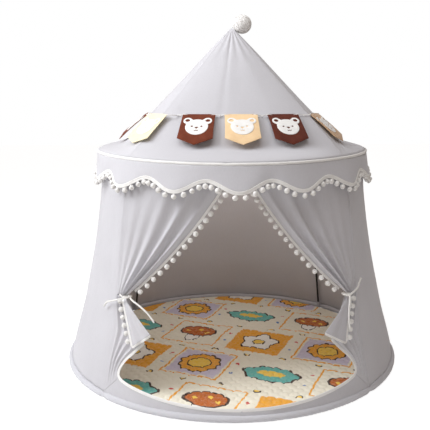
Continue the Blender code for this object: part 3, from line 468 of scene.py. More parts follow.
# Painted shade: flag 6's felt is the cream felt made darker and warmer, as in shade.
shadedCreamFelt = felt("cream_felt_wool_painted_shade", paint(214, 178, 140), paint(196, 158, 120))
whiteFelt = felt("white_felt_wool", paint(248, 247, 245), paint(235, 234, 232))

hardLook = {
    "grainHeight": 0.0002, "scuffScale": 60.0, "scuffStretch": (1.0, 1.0, 0.2), "scuffLight": (1.5, 0.006),
}


def hardFinish(name, tone, roughness, grain):
    # Paint or plastic with long faint scuffs that are paler and rougher.
    finish, place = newFinish(name, roughness, {"Specular IOR Level": 0.5})
    gain, lift = hardLook["scuffLight"]
    pale = tuple(c * gain + lift for c in tone[:3]) + (1.0,)
    scuffs = (place * hardLook["scuffStretch"]).noise(hardLook["scuffScale"], 4.0, 0.6)
    return feed(finish, Base_Color=scuffs.between(0.45, 0.75).colours(tone, pale),
                Roughness=scuffs.between(0.3, 0.7, roughness - 0.08, roughness + 0.12),
                Normal=place.noise(grain, 3.0).bump(0.2, hardLook["grainHeight"]))


poleBlack = hardFinish("pole_black", paint(34, 33, 34), 0.42, 500.0)
plasticBlack = hardFinish("plastic_black", paint(40, 39, 40), 0.5, 900.0)

steelLook = {
    "tone": paint(180, 180, 182), "shade": paint(150, 150, 152), "roughness": 0.35, "drawnScale": 200.0,
    "drawnStretch": (1.0, 1.0, 6.0),
}


def steel(name, look):
    finish, place = newFinish(name, look["roughness"], {"Metallic": 1.0})
    drawn = (place * look["drawnStretch"]).noise(look["drawnScale"], 2.0)
    return feed(finish, Base_Color=drawn.colours(look["shade"], look["tone"]),
                Roughness=drawn.between(0.3, 0.7, 0.28, 0.45))


steelWire = steel("steel_wire", steelLook)
print("finishes made")


# Making pieces

def link(name, data, finish):
    made = addToScene(name, data)
    made.data.materials.append(finish)
    return made


def settled(made):  # the object with its modifiers applied, as a plain mesh
    bpy.context.view_layer.update()
    mesh = bpy.data.meshes.new_from_object(made.evaluated_get(bpy.context.evaluated_depsgraph_get()))
    name, finishes = made.name, list(made.data.materials)
    world = made.matrix_world.copy()
    bpy.data.objects.remove(made)
    mesh.name = name
    kept = addToScene(name, mesh)
    kept.matrix_world = world
    if not mesh.materials:
        for finish in finishes:
            mesh.materials.append(finish)
    return kept


def fromForm(name, form, finish, smoothAngle):
    mesh = bpy.data.meshes.new(name)
    form.to_mesh(mesh)
    form.free()
    made = link(name, mesh, finish)
    mesh.shade_smooth()
    mesh.set_sharp_from_angle(angle=math.radians(smoothAngle))
    return made


def closedPiece(name, form, finish, smoothAngle):
    bmesh.ops.recalc_face_normals(form, faces=form.faces[:])
    return fromForm(name, form, finish, smoothAngle)


def thickened(made, thickness, offset):
    solid = made.modifiers.new("thickness", "SOLIDIFY")
    solid.thickness = thickness
    solid.offset = offset
    return settled(made)


def gridOf(look):
    return evenShares(look["columns"]), evenShares(look["rows"])


def joinRows(form, rows, ringed):
    for one, other in zip(rows, rows[1:]):
        count = len(one)
        for k in range(count if ringed else count - 1):
            form.faces.new((one[k], one[(k + 1) % count], other[(k + 1) % count], other[k]))


def clothPiece(name, across, down, place, ringed=False):
    # A grid of grey cloth through place(a, d), faced away from the tent's axis, with its thickness inwards.
    form = bmesh.new()
    rows = [[form.verts.new(place(a, d)) for a in (across[:-1] if ringed else across)] for d in down]
    joinRows(form, rows, ringed)
    form.normal_update()
    facing = sum(face.normal.dot(face.calc_center_median() * Vector((1, 1, 0))) for face in form.faces)
    if facing < 0:
        bmesh.ops.reverse_faces(form, faces=form.faces[:])
    return thickened(fromForm(name, form, greyCloth, 70), tent["cloth"], -1.0)


def sweep(form, frames, profile, closed=False):
    # Runs a closed profile along frames of (point, way, out): profile(k) holds (along way, along out) pairs.
    rings = [[form.verts.new(point + way * a + out * b) for a, b in profile(k)]
             for k, (point, way, out) in enumerate(frames)]
    joinRows(form, rings + rings[:1] if closed else rings, True)
    if not closed:
        form.faces.new(rings[0])
        form.faces.new(rings[-1])


def roundProfile(radius, sides):
    return [(radius * cosine, radius * sine) for sine, cosine in circle(sides)]


def alongFrames(points, closed=False):
    # Frames for a free round run: no twist matters, so any square pair will do.
    count = len(points)
    frames = []
    side = None
    for k, point in enumerate(points):
        before = points[(k - 1) % count] if closed or k else points[0]
        after = points[(k + 1) % count] if closed or k < count - 1 else points[-1]
        run = (after - before).normalized()
        side = run.orthogonal() if side is None else side - run * side.dot(run)
        side.normalize()
        frames.append((point, side, run.cross(side).normalized()))
    return frames


def tube(name, points, radiusAt, sides, closed=False):
    # A round cord along points, whose radius is radiusAt(share).
    form = bmesh.new()
    frames = alongFrames(points, closed)
    sweep(form, frames, lambda k: roundProfile(radiusAt(k / len(frames)), sides), closed)
    return closedPiece(name, form, whiteCord, 60)


def cutArea(piece):  # one side of the cloth as it is sewn, which its flat cut has as well
    return round(sum(face.area for face in piece.data.polygons) / 2, 4)


def runLength(points):
    return sum((b - a).length for a, b in zip(points, points[1:]))


def dressed(piece, slot, *nodes):
    if nodes:
        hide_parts(*nodes)
    return piece


def onBody(piece, body, slot, *nodes):
    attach(piece, body)
    return dressed(piece, slot, *nodes)


def onRoot(piece, slot, *nodes):
    return onBody(piece, "root", slot, *nodes)


# The curtains' lines, which the ties and hems follow

door = {
    "tieHeight": 0.365,
    "tieRadius": 0.0033,
    "tiePull": 0.010,
    "loopHalfWidth": 0.0195,
    "loopHalfDepth": 0.012,
    "knotRadius": 0.0065,
    "doorPull": 0.012,
    "sag": 0.045,
    "topDeg": 2.0,
    "bowShare": 1.2,
    "hemWidth": 0.009,
    "hemPitch": 0.031,
    "hemStartShare": 0.10,
    "hemStopShort": 0.020,
    "bindingWidth": 0.011,
    "bindingThickness": 0.0024,
    "bindingSteps": 90,
    "bindingCover": 0.6,
    "cornerShare": 0.5,
    "sillEndHeight": 0.004,
    "edgeShares": (
        (0.700, 0.600), (0.770, 0.500), (0.831, 0.420), (0.866, 0.352), (0.880, 0.295),
        (0.870, 0.258), (0.832, 0.234), (0.725, 0.204), (0.500, 0.161), (0.250, 0.133), (0.0, 0.124),
    ),
    "foldShares": ((0.905, 0.985), (0.840, 0.860), (0.770, 0.730), (0.700, 0.600)),
}
tieSeamRadius = wallRadius(halfPanel, door["tieHeight"])
bundleRadius = tieSeamRadius - door["tiePull"]
tieFromSeam = door["loopHalfWidth"] + door["tieRadius"] + tent["poleRadius"] + tent["slack"]
tieMiddle = halfPanel - tieFromSeam / tieSeamRadius
tieKnot = tieMiddle - door["loopHalfWidth"] / tieSeamRadius
knotMiddle = tieKnot - (door["knotRadius"] + tent["gap"]) / bundleRadius
sides = {"left": -1, "right": 1}


def mirrored(side, *vectors):  # on the tent's right side as they are, on its left side mirrored
    return [vector * Vector((side, 1.0, 1.0)) for vector in vectors]


def doorRadius(azimuth, height):
    nearTie = smooth((height - wallFootHeight) / (door["tieHeight"] - wallFootHeight))
    fromSeam = smooth((halfPanel - abs(azimuth)) / (halfPanel - tieKnot))
    return wallRadius(azimuth, height) - door["doorPull"] * nearTie * fromSeam


def hemAt(share):
    start = math.radians(door["topDeg"])
    azimuth = lerp(start, tieKnot, share ** door["bowShare"])
    radius = lerp(wallRadius(start, wallTopZ(start)), bundleRadius, share)
    height = lerp(wallTopZ(start), door["tieHeight"] + door["tieRadius"], share)
    return azimuth, radius - door["sag"] * arch(share), height


def hemFrame(share, side):
    run = (polar(*hemAt(share + 0.01)) - polar(*hemAt(share - 0.01))).normalized()
    across = run.cross(outward(hemAt(share)[0])).normalized()
    across = -across if across.x > 0 else across
    out = run.cross(across).normalized()
    out = -out if out.y > 0 else out
    return mirrored(side, polar(*hemAt(share)), across, out)


# Tie cords, which come first

tieLook = {
    "sides": 10,
    "clear": door["tieRadius"] + tent["slack"],
    "loopSteps": 36,
    "loopDroop": 0.0012,
    "knotSteps": 48,
    "knotShare": 0.33,
    "knotThinShare": 0.93,
    "endSteps": 32,
}


def tieRoutes():
    knot, radius, height = knotMiddle, bundleRadius, door["tieHeight"]
    deg, clear = math.radians, tieLook["clear"]
    front = radius + door["loopHalfDepth"] + 2 * clear
    start = [(knot, radius, height), (knot - deg(0.6), radius + 1.5 * clear, height),
             (knot + deg(0.2), front, height)]
    left = [
        start + [(deg(44), front + 3 * clear, height * 0.96), (deg(48.5), front + clear, height * 0.91),
                 (deg(51), wallRadius(deg(51), height * 0.85) + 1.4 * clear, height * 0.85)],
        [start[0], (knot - deg(1.8), radius + 2 * clear, height * 0.985),
         (knot - deg(5), radius + 2 * clear, height * 0.945),
         (knot - deg(8.5), radius + 2 * clear, height * 0.885),
         (knot - deg(11), radius + 2 * clear, height * 0.81)],
    ]
    right = [
        start + [(deg(44), front, height * 1.04), (deg(46.5), radius + 3 * clear, height * 1.08),
                 (deg(48.5), wallRadius(deg(48.5), height * 1.11) + 1.6 * clear, height * 1.11)],
        start + [(knot - deg(0.8), front + 2 * clear, height * 0.95),
                 (knot - deg(1.6), front + 3 * clear, height * 0.87),
                 (knot - deg(2.1), front + 4 * clear, height * 0.78),
                 (knot - deg(2.0), front + 5 * clear, height * 0.69)],
    ]
    return {"left": left, "right": right}


def tieLoop(angle):
    azimuth = tieMiddle - door["loopHalfWidth"] * math.cos(angle) / bundleRadius
    radius = bundleRadius + door["loopHalfDepth"] * math.sin(angle)
    return polar(azimuth, radius, door["tieHeight"] + tieLook["loopDroop"] * math.sin(3 * angle))


def tieKnotAt(angle):  # an overhand knot, drawn small
    run = Vector((math.sin(angle) + 2 * math.sin(2 * angle), math.cos(angle) - 2 * math.cos(2 * angle),
                  -math.sin(3 * angle)))
    run *= door["knotRadius"] * tieLook["knotShare"]
    return polar(knotMiddle, bundleRadius, door["tieHeight"]) + run


def tieEndRadius(share):  # a little thinner at its bare end
    return door["tieRadius"] * (0.97 if share < 0.95 else 0.86)


def makeTie(name, side, routes):
    look = tieLook
    loop = mirrored(side, *(tieLoop(angle) for angle in turns(look["loopSteps"])))
    piece = tube(name + "_tie_loop", loop, lambda share: door["tieRadius"], look["sides"], closed=True)
    onRoot(piece, "white_trim", name + "_tie")
    knot = mirrored(side, *(tieKnotAt(angle) for angle in turns(look["knotSteps"])))
    thin = door["tieRadius"] * look["knotThinShare"]
    onRoot(tube(name + "_tie_knot", knot, lambda share: thin, look["sides"], closed=True), "white_trim")
    for number, route in enumerate(routes, start=1):
        stations = (spline(route, share) for share in evenShares(look["endSteps"]))
        points = [polar(side * azimuth, radius, height) for azimuth, radius, height in stations]
        end = tube(f"{name}_tie_end_{number}", points, tieEndRadius, look["sides"])
        onRoot(end, "white_trim")
        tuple(points[0])
        round(runLength(points), 4)


for tieName, tieSide in sides.items():
    makeTie(tieName, tieSide, tieRoutes()[tieName])
print("ties made")


# Pompoms and trimming

trim = {
    "tapeWidth": 0.013,
    "tapeThickness": 0.002,
    "tapeStep": 0.004,
    "pompomRadius": 0.0093,
    "pompomPitch": 0.0275,
    "threadRadius": 0.0009,
    "threadLength": 0.0008,
    "threadSpread": 0.0014,
    "lumps": 0.10,
    "fuzz": 0.16,
}


def addPompom(form, centre, radius, seed):
    draw = random.Random(seed)
    ball = bmesh.ops.create_icosphere(form, subdivisions=3, radius=radius, matrix=Matrix.Translation(centre))
    for corner in ball["verts"]:
        spoke = (corner.co - centre).normalized()
        fluff = noise.noise(spoke * 3.1 + Vector((seed, 0, 0))) * trim["lumps"]
        fluff += (draw.random() - 0.6) * trim["fuzz"]
        corner.co = centre + spoke * radius * (1 + fluff)


def tapeProfile(width):
    # Two rolled edges with a groove between them.
    thickness = trim["tapeThickness"]
    shares = ((0.0, 0.30), (0.08, 0.95), (0.26, 1.0), (0.42, 0.62), (0.58, 0.62), (0.74, 1.0), (0.92, 0.95),
              (1.0, 0.30))
    outer = [(width * a, thickness * (b - 0.5)) for a, b in shares]
    return outer + [(width * a, -thickness * 0.5) for a in (0.96, 0.5, 0.04)]


def trimming(name, edge, length, width, pompoms, startAt=0.0, endAt=1.0, closed=False):
    # Tape along an edge, with pompoms on short threads. edge(share) gives a point, the way past it and out.
    steps = max(8, round(length / trim["tapeStep"]))
    frames = [edge(lerp(startAt, endAt, k / steps)) for k in range(steps if closed else steps + 1)]
    form = bmesh.new()
    sweep(form, frames, lambda k: tapeProfile(width * (1 + 0.03 * math.sin(1.7 * k))), closed)
    tape = closedPiece(name, form, whiteBraid, 60)
    form = bmesh.new()
    for number, share in enumerate(pompoms):
        draw = random.Random(number * 13 + len(name))
        point, way, out = edge(share)
        sway = (way + Vector((0, 0, -0.25)) + out * (draw.random() - 0.35) * 0.22).normalized()
        start = point + way * width * 0.93
        thread = trim["pompomRadius"] + trim["threadLength"] + trim["threadSpread"] * draw.random()
        centre = start + sway * thread
        sweep(form, alongFrames([start, lerp(start, centre, 0.5), centre]),
              lambda k: roundProfile(trim["threadRadius"], 6))
        addPompom(form, centre, trim["pompomRadius"] * (0.93 + 0.12 * draw.random()), number)
    return tape, closedPiece(name + "_pompoms", form, whiteYarn, 180)


def sewnOn(tape, balls, body, node):
    onBody(tape, body, "white_trim", node)
    onBody(balls, body, "white_trim")


def evenly(length, pitch):
    count = max(1, round(length / pitch))
    return [(k + 0.5) / count for k in range(count)]


# Panels between two seams

def seamShares(columns, width):
    # Even columns, with close ones at both edges for the sewn seam.
    edge = [0.0, width * 0.12, width * 0.5, width * 0.88, width * 1.1]
    inner = [lerp(width * 1.6, 1 - width * 1.6, k / columns) for k in range(columns + 1)]
    return edge + inner + [1 - e for e in reversed(edge)]


def makePanel(node, middle, look, point, **sewn):
    # point(azimuth, fromEdge, seam, d): seam is 1 on the felled seam, which lies on one side only.
    low, high = middle - halfPanel, middle + halfPanel
    width = look["seamWidth"] / (panel * tent["eaveRadius"])

    def place(a, d):
        seam = 1.0 if width * 0.1 < a < width else 0.0
        return point(lerp(low, high, a), min(a, 1 - a) * panel, seam, d)

    piece = clothPiece(node + "_cloth", seamShares(look["columns"], width), evenShares(look["rows"]), place)
    onRoot(piece, "grey_cloth", node)
    cutArea(piece)


# Walls

wallLook = {
    "columns": 72, "rows": 64, "seamWidth": 0.009, "seamHeight": 0.0016, "stitchPitch": 0.006,
    "footTuck": 0.004, "topTuck": 0.002, "ridge": 0.007,
    "foldHeight": 0.0050, "foldWidth": 0.13, "foldLength": 0.55,
    "leanHeight": 0.0018, "leanWidth": 0.075, "leanLength": 0.9, "leanShare": 0.35,
    "puckerPitch": 0.030, "puckerLength": 0.4, "puckerGain": 2.2,
    "footPucker": 0.0016, "footReach": 0.045, "topPucker": 0.0007, "topReach": 0.030,
}


def wallFolds(azimuth, height, seed):
    # Long soft folds, then short puckers where the cloth is gathered on the hoops.
    look = wallLook
    around = azimuth * tent["eaveRadius"]
    leaning = (around + height * look["leanShare"]) / look["leanWidth"]
    soft = wander(seed, around / look["foldWidth"], height / look["foldLength"]) * look["foldHeight"]
    lean = wander(seed + 1, leaning, height / look["leanLength"]) * look["leanHeight"]
    fromFoot, fromTop = height - wallFootHeight, wallTopZ(azimuth) - height
    gathers = math.exp(-fromFoot / look["footReach"]) * look["footPucker"]
    gathers += math.exp(-fromTop / look["topReach"]) * look["topPucker"]
    pucker = wander(seed + 2, around / look["puckerPitch"], height / look["puckerLength"])
    hold = smooth(fromFoot / 0.05) * smooth(fromTop / 0.05)
    return (soft + lean) * hold + pucker * look["puckerGain"] * gathers * smooth(fromTop / 0.004)


def makeWall(name, middle, seed):
    look = wallLook

    def point(azimuth, fromEdge, seam, d):
        height = lerp(wallFootHeight - look["footTuck"], wallTopZ(azimuth) + look["topTuck"], d)
        radius = wallRadius(azimuth, height)
        radius += wallFolds(azimuth, height, seed) * smooth(fromEdge / 0.10)
        radius -= look["ridge"] * smooth(fromEdge / 0.14) * arch(min(1.0, d + 0.08 * (1 - d)))
        stitch = 0.85 + 0.15 * math.sin(height * 2 * math.pi / look["stitchPitch"])
        return polar(azimuth, radius + look["seamHeight"] * seam * stitch, height)

    makePanel(name, middle, look, point, flat=(1.06, 0.83), rests_on=["base_hoop", "eave_hoop"])


for wallName, wallMiddle, wallSeed in (("left", -90, 3), ("right", 90, 11), ("back", 180, 19)):
    makeWall(wallName + "_wall", math.radians(wallMiddle), wallSeed)
print("walls made")


# Roof

roofLook = {
    "columns": 64, "rows": 72, "seamWidth": 0.008, "seamHeight": 0.0006, "foldHeight": 0.0060,
    "creaseDepth": 0.0020, "creaseAt": -0.16, "creaseWidth": 0.05, "tipFolds": 5, "tipFoldHeight": 0.0013,
    "gatherPitch": 0.022, "gatherHeight": 0.0020, "gatherReach": 0.035,
}


def roofFolds(azimuth, share, seed):
    # A soft swell, one crease beside the middle, pleats at the tip and gathers on the eave's piping.
    look = roofLook
    off = fromPanelMiddle(azimuth)
    nearTip = smooth((1 - share) / 0.1)
    soft = wander(seed, off * 2.6, share * 1.5) * look["foldHeight"] * arch(min(1, share * 1.05))
    crease = -look["creaseDepth"] * bell(off - look["creaseAt"], look["creaseWidth"]) * smooth(share / 0.3)
    tip = math.cos(off * look["tipFolds"] * 4) * look["tipFoldHeight"] * smooth((share - 0.62) / 0.25)
    gather = wander(seed + 1, azimuth * tent["eaveRadius"] / look["gatherPitch"], share * 6)
    gather *= look["gatherHeight"] * math.exp(-share / look["gatherReach"]) * smooth(share / 0.01)
    return soft + crease * nearTip + tip * nearTip + gather


def makeRoofPanel(name, middle, seed):
    look = roofLook
    top = 1 - tent["tipRadius"] / tent["eaveRadius"]

    def point(azimuth, fromEdge, seam, d):
        share = top * d
        radius, height = roofAt(azimuth, share)
        radius += roofFolds(azimuth, share, seed) * smooth(fromEdge / 0.14)
        return polar(azimuth, radius + look["seamHeight"] * seam * smooth((1 - share) / 0.08), height)

    makePanel(name, middle, look, point, flat=(0.84, 0.72), rests_on=["eave_hoop"])


roofPanels = (("front", 0, 31), ("right", 90, 37), ("back", 180, 43), ("left", -90, 49))
for roofName, roofMiddle, roofSeed in roofPanels:
    makeRoofPanel("roof_panel_" + roofName, math.radians(roofMiddle), roofSeed)
print("roof made")


# Eave piping and base roll

rollLook = {
    "steps": 288, "eaveSides": 14, "baseSides": 20, "kinkDeg": -4.5, "kinkWidth": 0.012, "kinkDrop": 0.0016,
    "kinkReach": 0.014,
    "cornerPinch": 0.0036, "cornerWidth": 0.020,
}


def makeRing(name, finish, node, steps, smoothAngle, point, profile):
    # A roll of cloth round the tent: point and profile take an azimuth.
    azimuths = [angle - math.pi for angle in turns(steps)]
    frames = [(point(azimuth), outward(azimuth), Vector((0, 0, 1))) for azimuth in azimuths]
    form = bmesh.new()
    sweep(form, frames, lambda k: profile(azimuths[k]), closed=True)
    onRoot(closedPiece(name, form, finish, smoothAngle), "grey_cloth", node)


def makePiping():
    # It has one small kink, a little left of the door's middle.
    look = rollLook
    kink = math.radians(look["kinkDeg"])

    def point(azimuth):
        drop = look["kinkDrop"] * bell(azimuth - kink, look["kinkReach"])
        return polar(azimuth, tent["eaveRadius"], eaveZ(azimuth) - drop)

    def profile(azimuth):
        puff = 1 + 0.05 * wander(5, azimuth * 40) - 0.10 * bell(azimuth - kink, look["kinkWidth"])
        return roundProfile(tent["pipingRadius"] * puff, look["eaveSides"])

    makeRing("eave_piping_cloth", whiteBraid, "eave_piping", look["steps"], 70, point, profile)


def makeBaseRoll():
    look, radius = rollLook, tent["sleeveRadius"]

    def point(azimuth):
        return polar(azimuth, wallFootRadius, radius)

    def profile(azimuth):
        corner = bell(abs(abs(fromPanelMiddle(azimuth)) - halfPanel), look["cornerWidth"])
        puff = 1 + 0.05 * wander(7, azimuth * 16) + 0.045 * wander(9, azimuth * 46)
        reach = radius * puff - look["cornerPinch"] * corner
        pairs = []
        for a, b in roundProfile(1.0, look["baseSides"]):
            crease = 1 - 0.10 * max(0.0, wander(13, azimuth * 60, math.atan2(b, a)))
            pairs.append((a * reach * crease, max(b * reach * crease, -radius)))
        return pairs

    makeRing("base_sleeve_cloth", sillCloth, "base_sleeve", look["steps"] * 2, 80, point, profile)


makePiping()
makeBaseRoll()
print("piping and base roll made")


# Valance

valanceLook = {
    "drop": 0.0665, "scallopDepth": 0.0185, "scallops": 16, "columns": 480, "rows": 14, "stand": 0.021,
    "doorPush": 0.020, "flutter": 0.0030, "waves": 0.0040, "tapeTuck": 0.0015, "steps": 1600,
}


def scallop(azimuth):
    return math.cos(valanceLook["scallops"] * azimuth)


def valanceRadius(azimuth, drop):
    # It follows the wall, and is pushed out over the door by the gathered curtains.
    look = valanceLook
    deepest = look["drop"] + look["scallopDepth"]
    top = tent["eaveRadius"] + tent["wallInset"] + tent["cloth"]
    push = look["doorPush"] * max(0.0, math.cos(azimuth)) ** 4
    low = wallRadius(azimuth, eaveZ(azimuth) - deepest) + look["stand"] + push
    return lerp(top, low, drop / deepest)


def valancePoint(azimuth, down):
    look = valanceLook
    drop = lerp(tent["pipingRadius"] * 0.7, look["drop"] + look["scallopDepth"] * scallop(azimuth), down)
    flutter = look["flutter"] * scallop(azimuth) * down ** 2
    flutter += wander(61, azimuth * 9.0, drop * 12) * look["waves"] * down
    return polar(azimuth, valanceRadius(azimuth, drop) + flutter, eaveZ(azimuth) - drop)


def valanceEdge(share):
    azimuth = lerp(-math.pi, math.pi, share)
    step = math.radians(0.5)
    run = (valancePoint(azimuth + step, 1.0) - valancePoint(azimuth - step, 1.0)).normalized()
    out = outward(azimuth)
    way = run.cross(out).normalized()
    way = -way if way.z > 0 else way
    return valancePoint(azimuth, 1.0) - way * valanceLook["tapeTuck"], way, out


def makeValance():
    look = valanceLook
    piece = clothPiece("valance_cloth", *gridOf(look),
                       lambda a, d: valancePoint(lerp(-math.pi, math.pi, a), d), ringed=True)
    onRoot(piece, "grey_cloth", "valance")
    fine = [valanceEdge(share)[0] for share in evenShares(look["steps"])]
    lengths = [0.0]
    for one, other in zip(fine, fine[1:]):
        lengths.append(lengths[-1] + (other - one).length)
    whole = lengths[-1]
    shares = [next(k for k, length in enumerate(lengths) if length >= part * whole) / look["steps"]
              for part in evenly(whole, trim["pompomPitch"])]
    tape, balls = trimming("valance_tape", valanceEdge, whole, trim["tapeWidth"], shares, closed=True)
    sewnOn(tape, balls, "root", "valance_trim")
    cutArea(piece)


makeValance()
print("valance made")


# Door: sill, binding, curtains and their lower parts

curtainLook = {
    "columns": 96,
    "rows": 72,
    "foldDepth": 0.0160,
    "foldShares": (0.15, 0.32, 0.52, 0.71, 0.90),
    "foldWidths": (0.070, 0.078, 0.076, 0.050, 0.042),
    "foldTallShares": (0.45, 0.60, 1.0, 1.35, 1.05),
    "sway": 0.004,
    "bundleRise": 0.004,
    "bundleShare": 0.45,
    "spreadDeg": 7.5,
    "hemSteps": 40,
}
footLook = {
    "columns": 72,
    "rows": 60,
    "foldDepth": 0.0125,
    "foldShares": (0.17, 0.38, 0.62, 0.85),
    "foldWidths": (0.065, 0.070, 0.080, 0.060),
    "foldTallShares": (0.8, 0.9, 1.0, 0.8),
    "foldFade": 0.45,
    "sway": 0.0016,
    "upperShare": 0.35,
}


def foldsAcross(share, look, drift):
    # Rounded ridges that run down the cloth, a little unlike each other.
    rise = 0.0
    ridges = zip(look["foldShares"], look["foldWidths"], look["foldTallShares"])
    for number, (centre, width, tall) in enumerate(ridges):
        rise += tall * bell(share - centre - drift * math.sin(1.9 * number + 1), width)
    return rise


def curtainPoint(a, d, side):
    # a runs from the corner seam to the front edge, d from the eave to the tie.
    look = curtainLook
    hemAzimuth, hemRadius, hemHeight = hemAt(d)
    azimuth = lerp(halfPanel, hemAzimuth, a)
    seamHeight = lerp(wallTopZ(halfPanel) + wallLook["topTuck"], door["tieHeight"], d)
    height = lerp(seamHeight, hemHeight, a) if d > 0 else wallTopZ(azimuth) + wallLook["topTuck"]
    radius = lerp(wallRadius(halfPanel, seamHeight), hemRadius, a)
    grow = smooth(d / 0.14) * (0.16 + 0.84 * smooth(d / 0.85))
    hold = smooth(a / 0.22) * (0.35 + 0.65 * smooth((1 - a) / 0.05))
    radius += look["foldDepth"] * grow * foldsAcross(a, look, 0.025 * (1 - d)) * hold
    radius += wander(71 + side, a * 5, d * 2.5) * look["sway"] * arch(a) * (1 - d)
    gather = smooth((d - 0.80) / 0.20) * smooth(a / 0.25)  # the tie draws the folds to the bundle's middle
    drawn = lerp(radius, bundleRadius + look["bundleRise"], look["bundleShare"])
    return polar(side * azimuth, lerp(radius, drawn, gather), height)


def spreadLine(side):
    # Two points: one on the corner seam at the tie's height, and that point moved across onto a plane through
    # the line from the tie up to the eave.
    top = math.radians(curtainLook["spreadDeg"])
    knot = polar(*hemAt(1.0))
    line = knot - polar(top, wallRadius(top, wallTopZ(top)), wallTopZ(top))
    across = line.cross(outward((top + tieKnot) / 2)).normalized()
    seam = polar(halfPanel, tieSeamRadius, door["tieHeight"])
    return mirrored(side, seam, seam + across * (knot - seam).dot(across))


def makeCurtain(name, side):
    look, hem, start = curtainLook, name + "_hem", door["hemStartShare"]
    piece = clothPiece(name + "_curtain_cloth", *gridOf(look), lambda a, d: curtainPoint(a, d, side))
    dressed(piece, "grey_cloth", name + "_curtain")
    stays, follows = spreadLine(side)
    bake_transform(piece)
    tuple(stays)
    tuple(follows)
    cutArea(piece)
    length = runLength([polar(*hemAt(share)) for share in evenShares(look["hemSteps"]) if share >= start])
    stop = 1 - door["hemStopShort"] / (tent["eaveHeight"] - door["tieHeight"])
    tape, balls = trimming(hem + "_tape", lambda share: hemFrame(share, side), length, door["hemWidth"],
                           [lerp(start, stop, share) for share in evenly(length, door["hemPitch"])],
                           startAt=start, endAt=stop)
    sewnOn(tape, balls, hem, hem + "_trim")


def doorEdge(share):
    across, up = spline(door["edgeShares"], share)
    return across * halfPanel, up * door["tieHeight"]


def doorEdgeInset(share, inset):
    azimuth, height = doorEdge(share)
    before, after = doorEdge(share - 0.01), doorEdge(share + 0.01)
    radius = doorRadius(azimuth, height)
    run, rise = (after[0] - before[0]) * radius, after[1] - before[1]
    length = math.hypot(run, rise)
    return azimuth - inset * rise / length / radius, height + inset * run / length


def underBinding(share):  # where the cloth ends under the binding
    return doorEdgeInset(share, door["bindingWidth"] * door["bindingCover"])


def makeCurtainFoot(name, side):
    # Its inner edge is folded down from the tie, and lies under the binding below the fold.
    look, upper = footLook, footLook["upperShare"]
    top, low = door["tieHeight"], wallFootHeight + door["sillEndHeight"]

    def innerEdge(d):
        if d < upper:
            across, up = spline(door["foldShares"], d / upper)
            return across * halfPanel, up * door["tieHeight"]
        return underBinding(lerp(0.0, door["cornerShare"], (d - upper) / (1 - upper)))

    def place(a, d):
        edge = innerEdge(d)
        azimuth = lerp(halfPanel, edge[0], a)
        height = lerp(lerp(top, low, d), edge[1], a)
        fold = look["foldDepth"] * (1 - smooth(d)) ** look["foldFade"] * foldsAcross(a, look, 0.03 * d)
        radius = doorRadius(azimuth, height) + fold * smooth(a / 0.16) * smooth((1 - a) / 0.03)
        radius += wander(81 + side, a * 6, d * 3) * look["sway"] * arch(a)
        return polar(side * azimuth, radius, height)

    foot = name + "_curtain_foot"
    piece = clothPiece(foot + "_cloth", *gridOf(look), place)
    onRoot(piece, "grey_cloth", foot)
    cutArea(piece)


sillLook = {"columns": 180, "rows": 14, "endShare": 0.90, "waves": 0.0022, "seamHeight": 0.0012,
            "seamAt": 0.004, "seamWidth": 0.006}


def makeSill():
    look, endShare = sillLook, sillLook["endShare"]
    corner = (halfPanel, wallFootHeight + door["sillEndHeight"])

    def top(a):  # a runs from the left corner to the right one
        side = -1 if a < 0.5 else 1
        share = abs(2 * a - 1)
        azimuth, height = underBinding(lerp(1.0, door["cornerShare"], min(1.0, share / endShare)))
        if share > endShare:
            past = (share - endShare) / (1 - endShare)
            azimuth, height = lerp(azimuth, corner[0], past), lerp(height, corner[1], past)
        return side * azimuth, height

    def place(a, d):
        azimuth, height = top(a)
        height = lerp(wallFootHeight - wallLook["footTuck"], height, d)
        radius = doorRadius(azimuth, height)
        radius += wander(91, azimuth * 8, height * 10) * look["waves"] * arch(d)
        radius += look["seamHeight"] * bell(azimuth - look["seamAt"], look["seamWidth"])
        return polar(azimuth, radius, height)

    piece = clothPiece("front_sill_cloth", *gridOf(look), place)
    onRoot(piece, "grey_cloth", "front_sill")
    cutArea(piece)


bindingShape = ((0.0, 0.0), (0.04, 0.7), (0.16, 1.0), (0.5, 0.96), (0.9, 0.9), (1.0, 0.35), (1.0, -0.35),
                (0.9, -0.9), (0.16, -1.0), (0.04, -0.7))


def makeBinding():
    width, thick = door["bindingWidth"], door["bindingThickness"]
    shares = evenShares(door["bindingSteps"])
    frames = []
    for share, side in [(share, 1) for share in shares] + [(share, -1) for share in reversed(shares[:-1])]:
        azimuth, height = doorEdgeInset(share, 0.0)
        inside = doorEdgeInset(share, width)
        point = polar(azimuth, doorRadius(azimuth, height), height)
        way = (polar(inside[0], doorRadius(*inside), inside[1]) - point).normalized()
        frames.append(mirrored(side, point, way, outward(azimuth)))
    form = bmesh.new()
    sweep(form, frames, lambda k: [(width * a, thick * b / 2) for a, b in bindingShape])
    onRoot(closedPiece("door_binding_cloth", form, whiteBraid, 60), "white_trim", "door_binding")


flapLook = {
    "neck": 0.010, "length": 0.150, "rise": 0.048, "fold": 0.004, "columns": 36, "rows": 44,
    "width": {-1: 0.062, 1: 0.080}, "lean": {-1: 0.058, 1: 0.046},
    "footStand": 0.007, "pompomRadius": 0.0095, "bendShare": 0.25 ** 1.6, "pitchShare": 0.8,
}


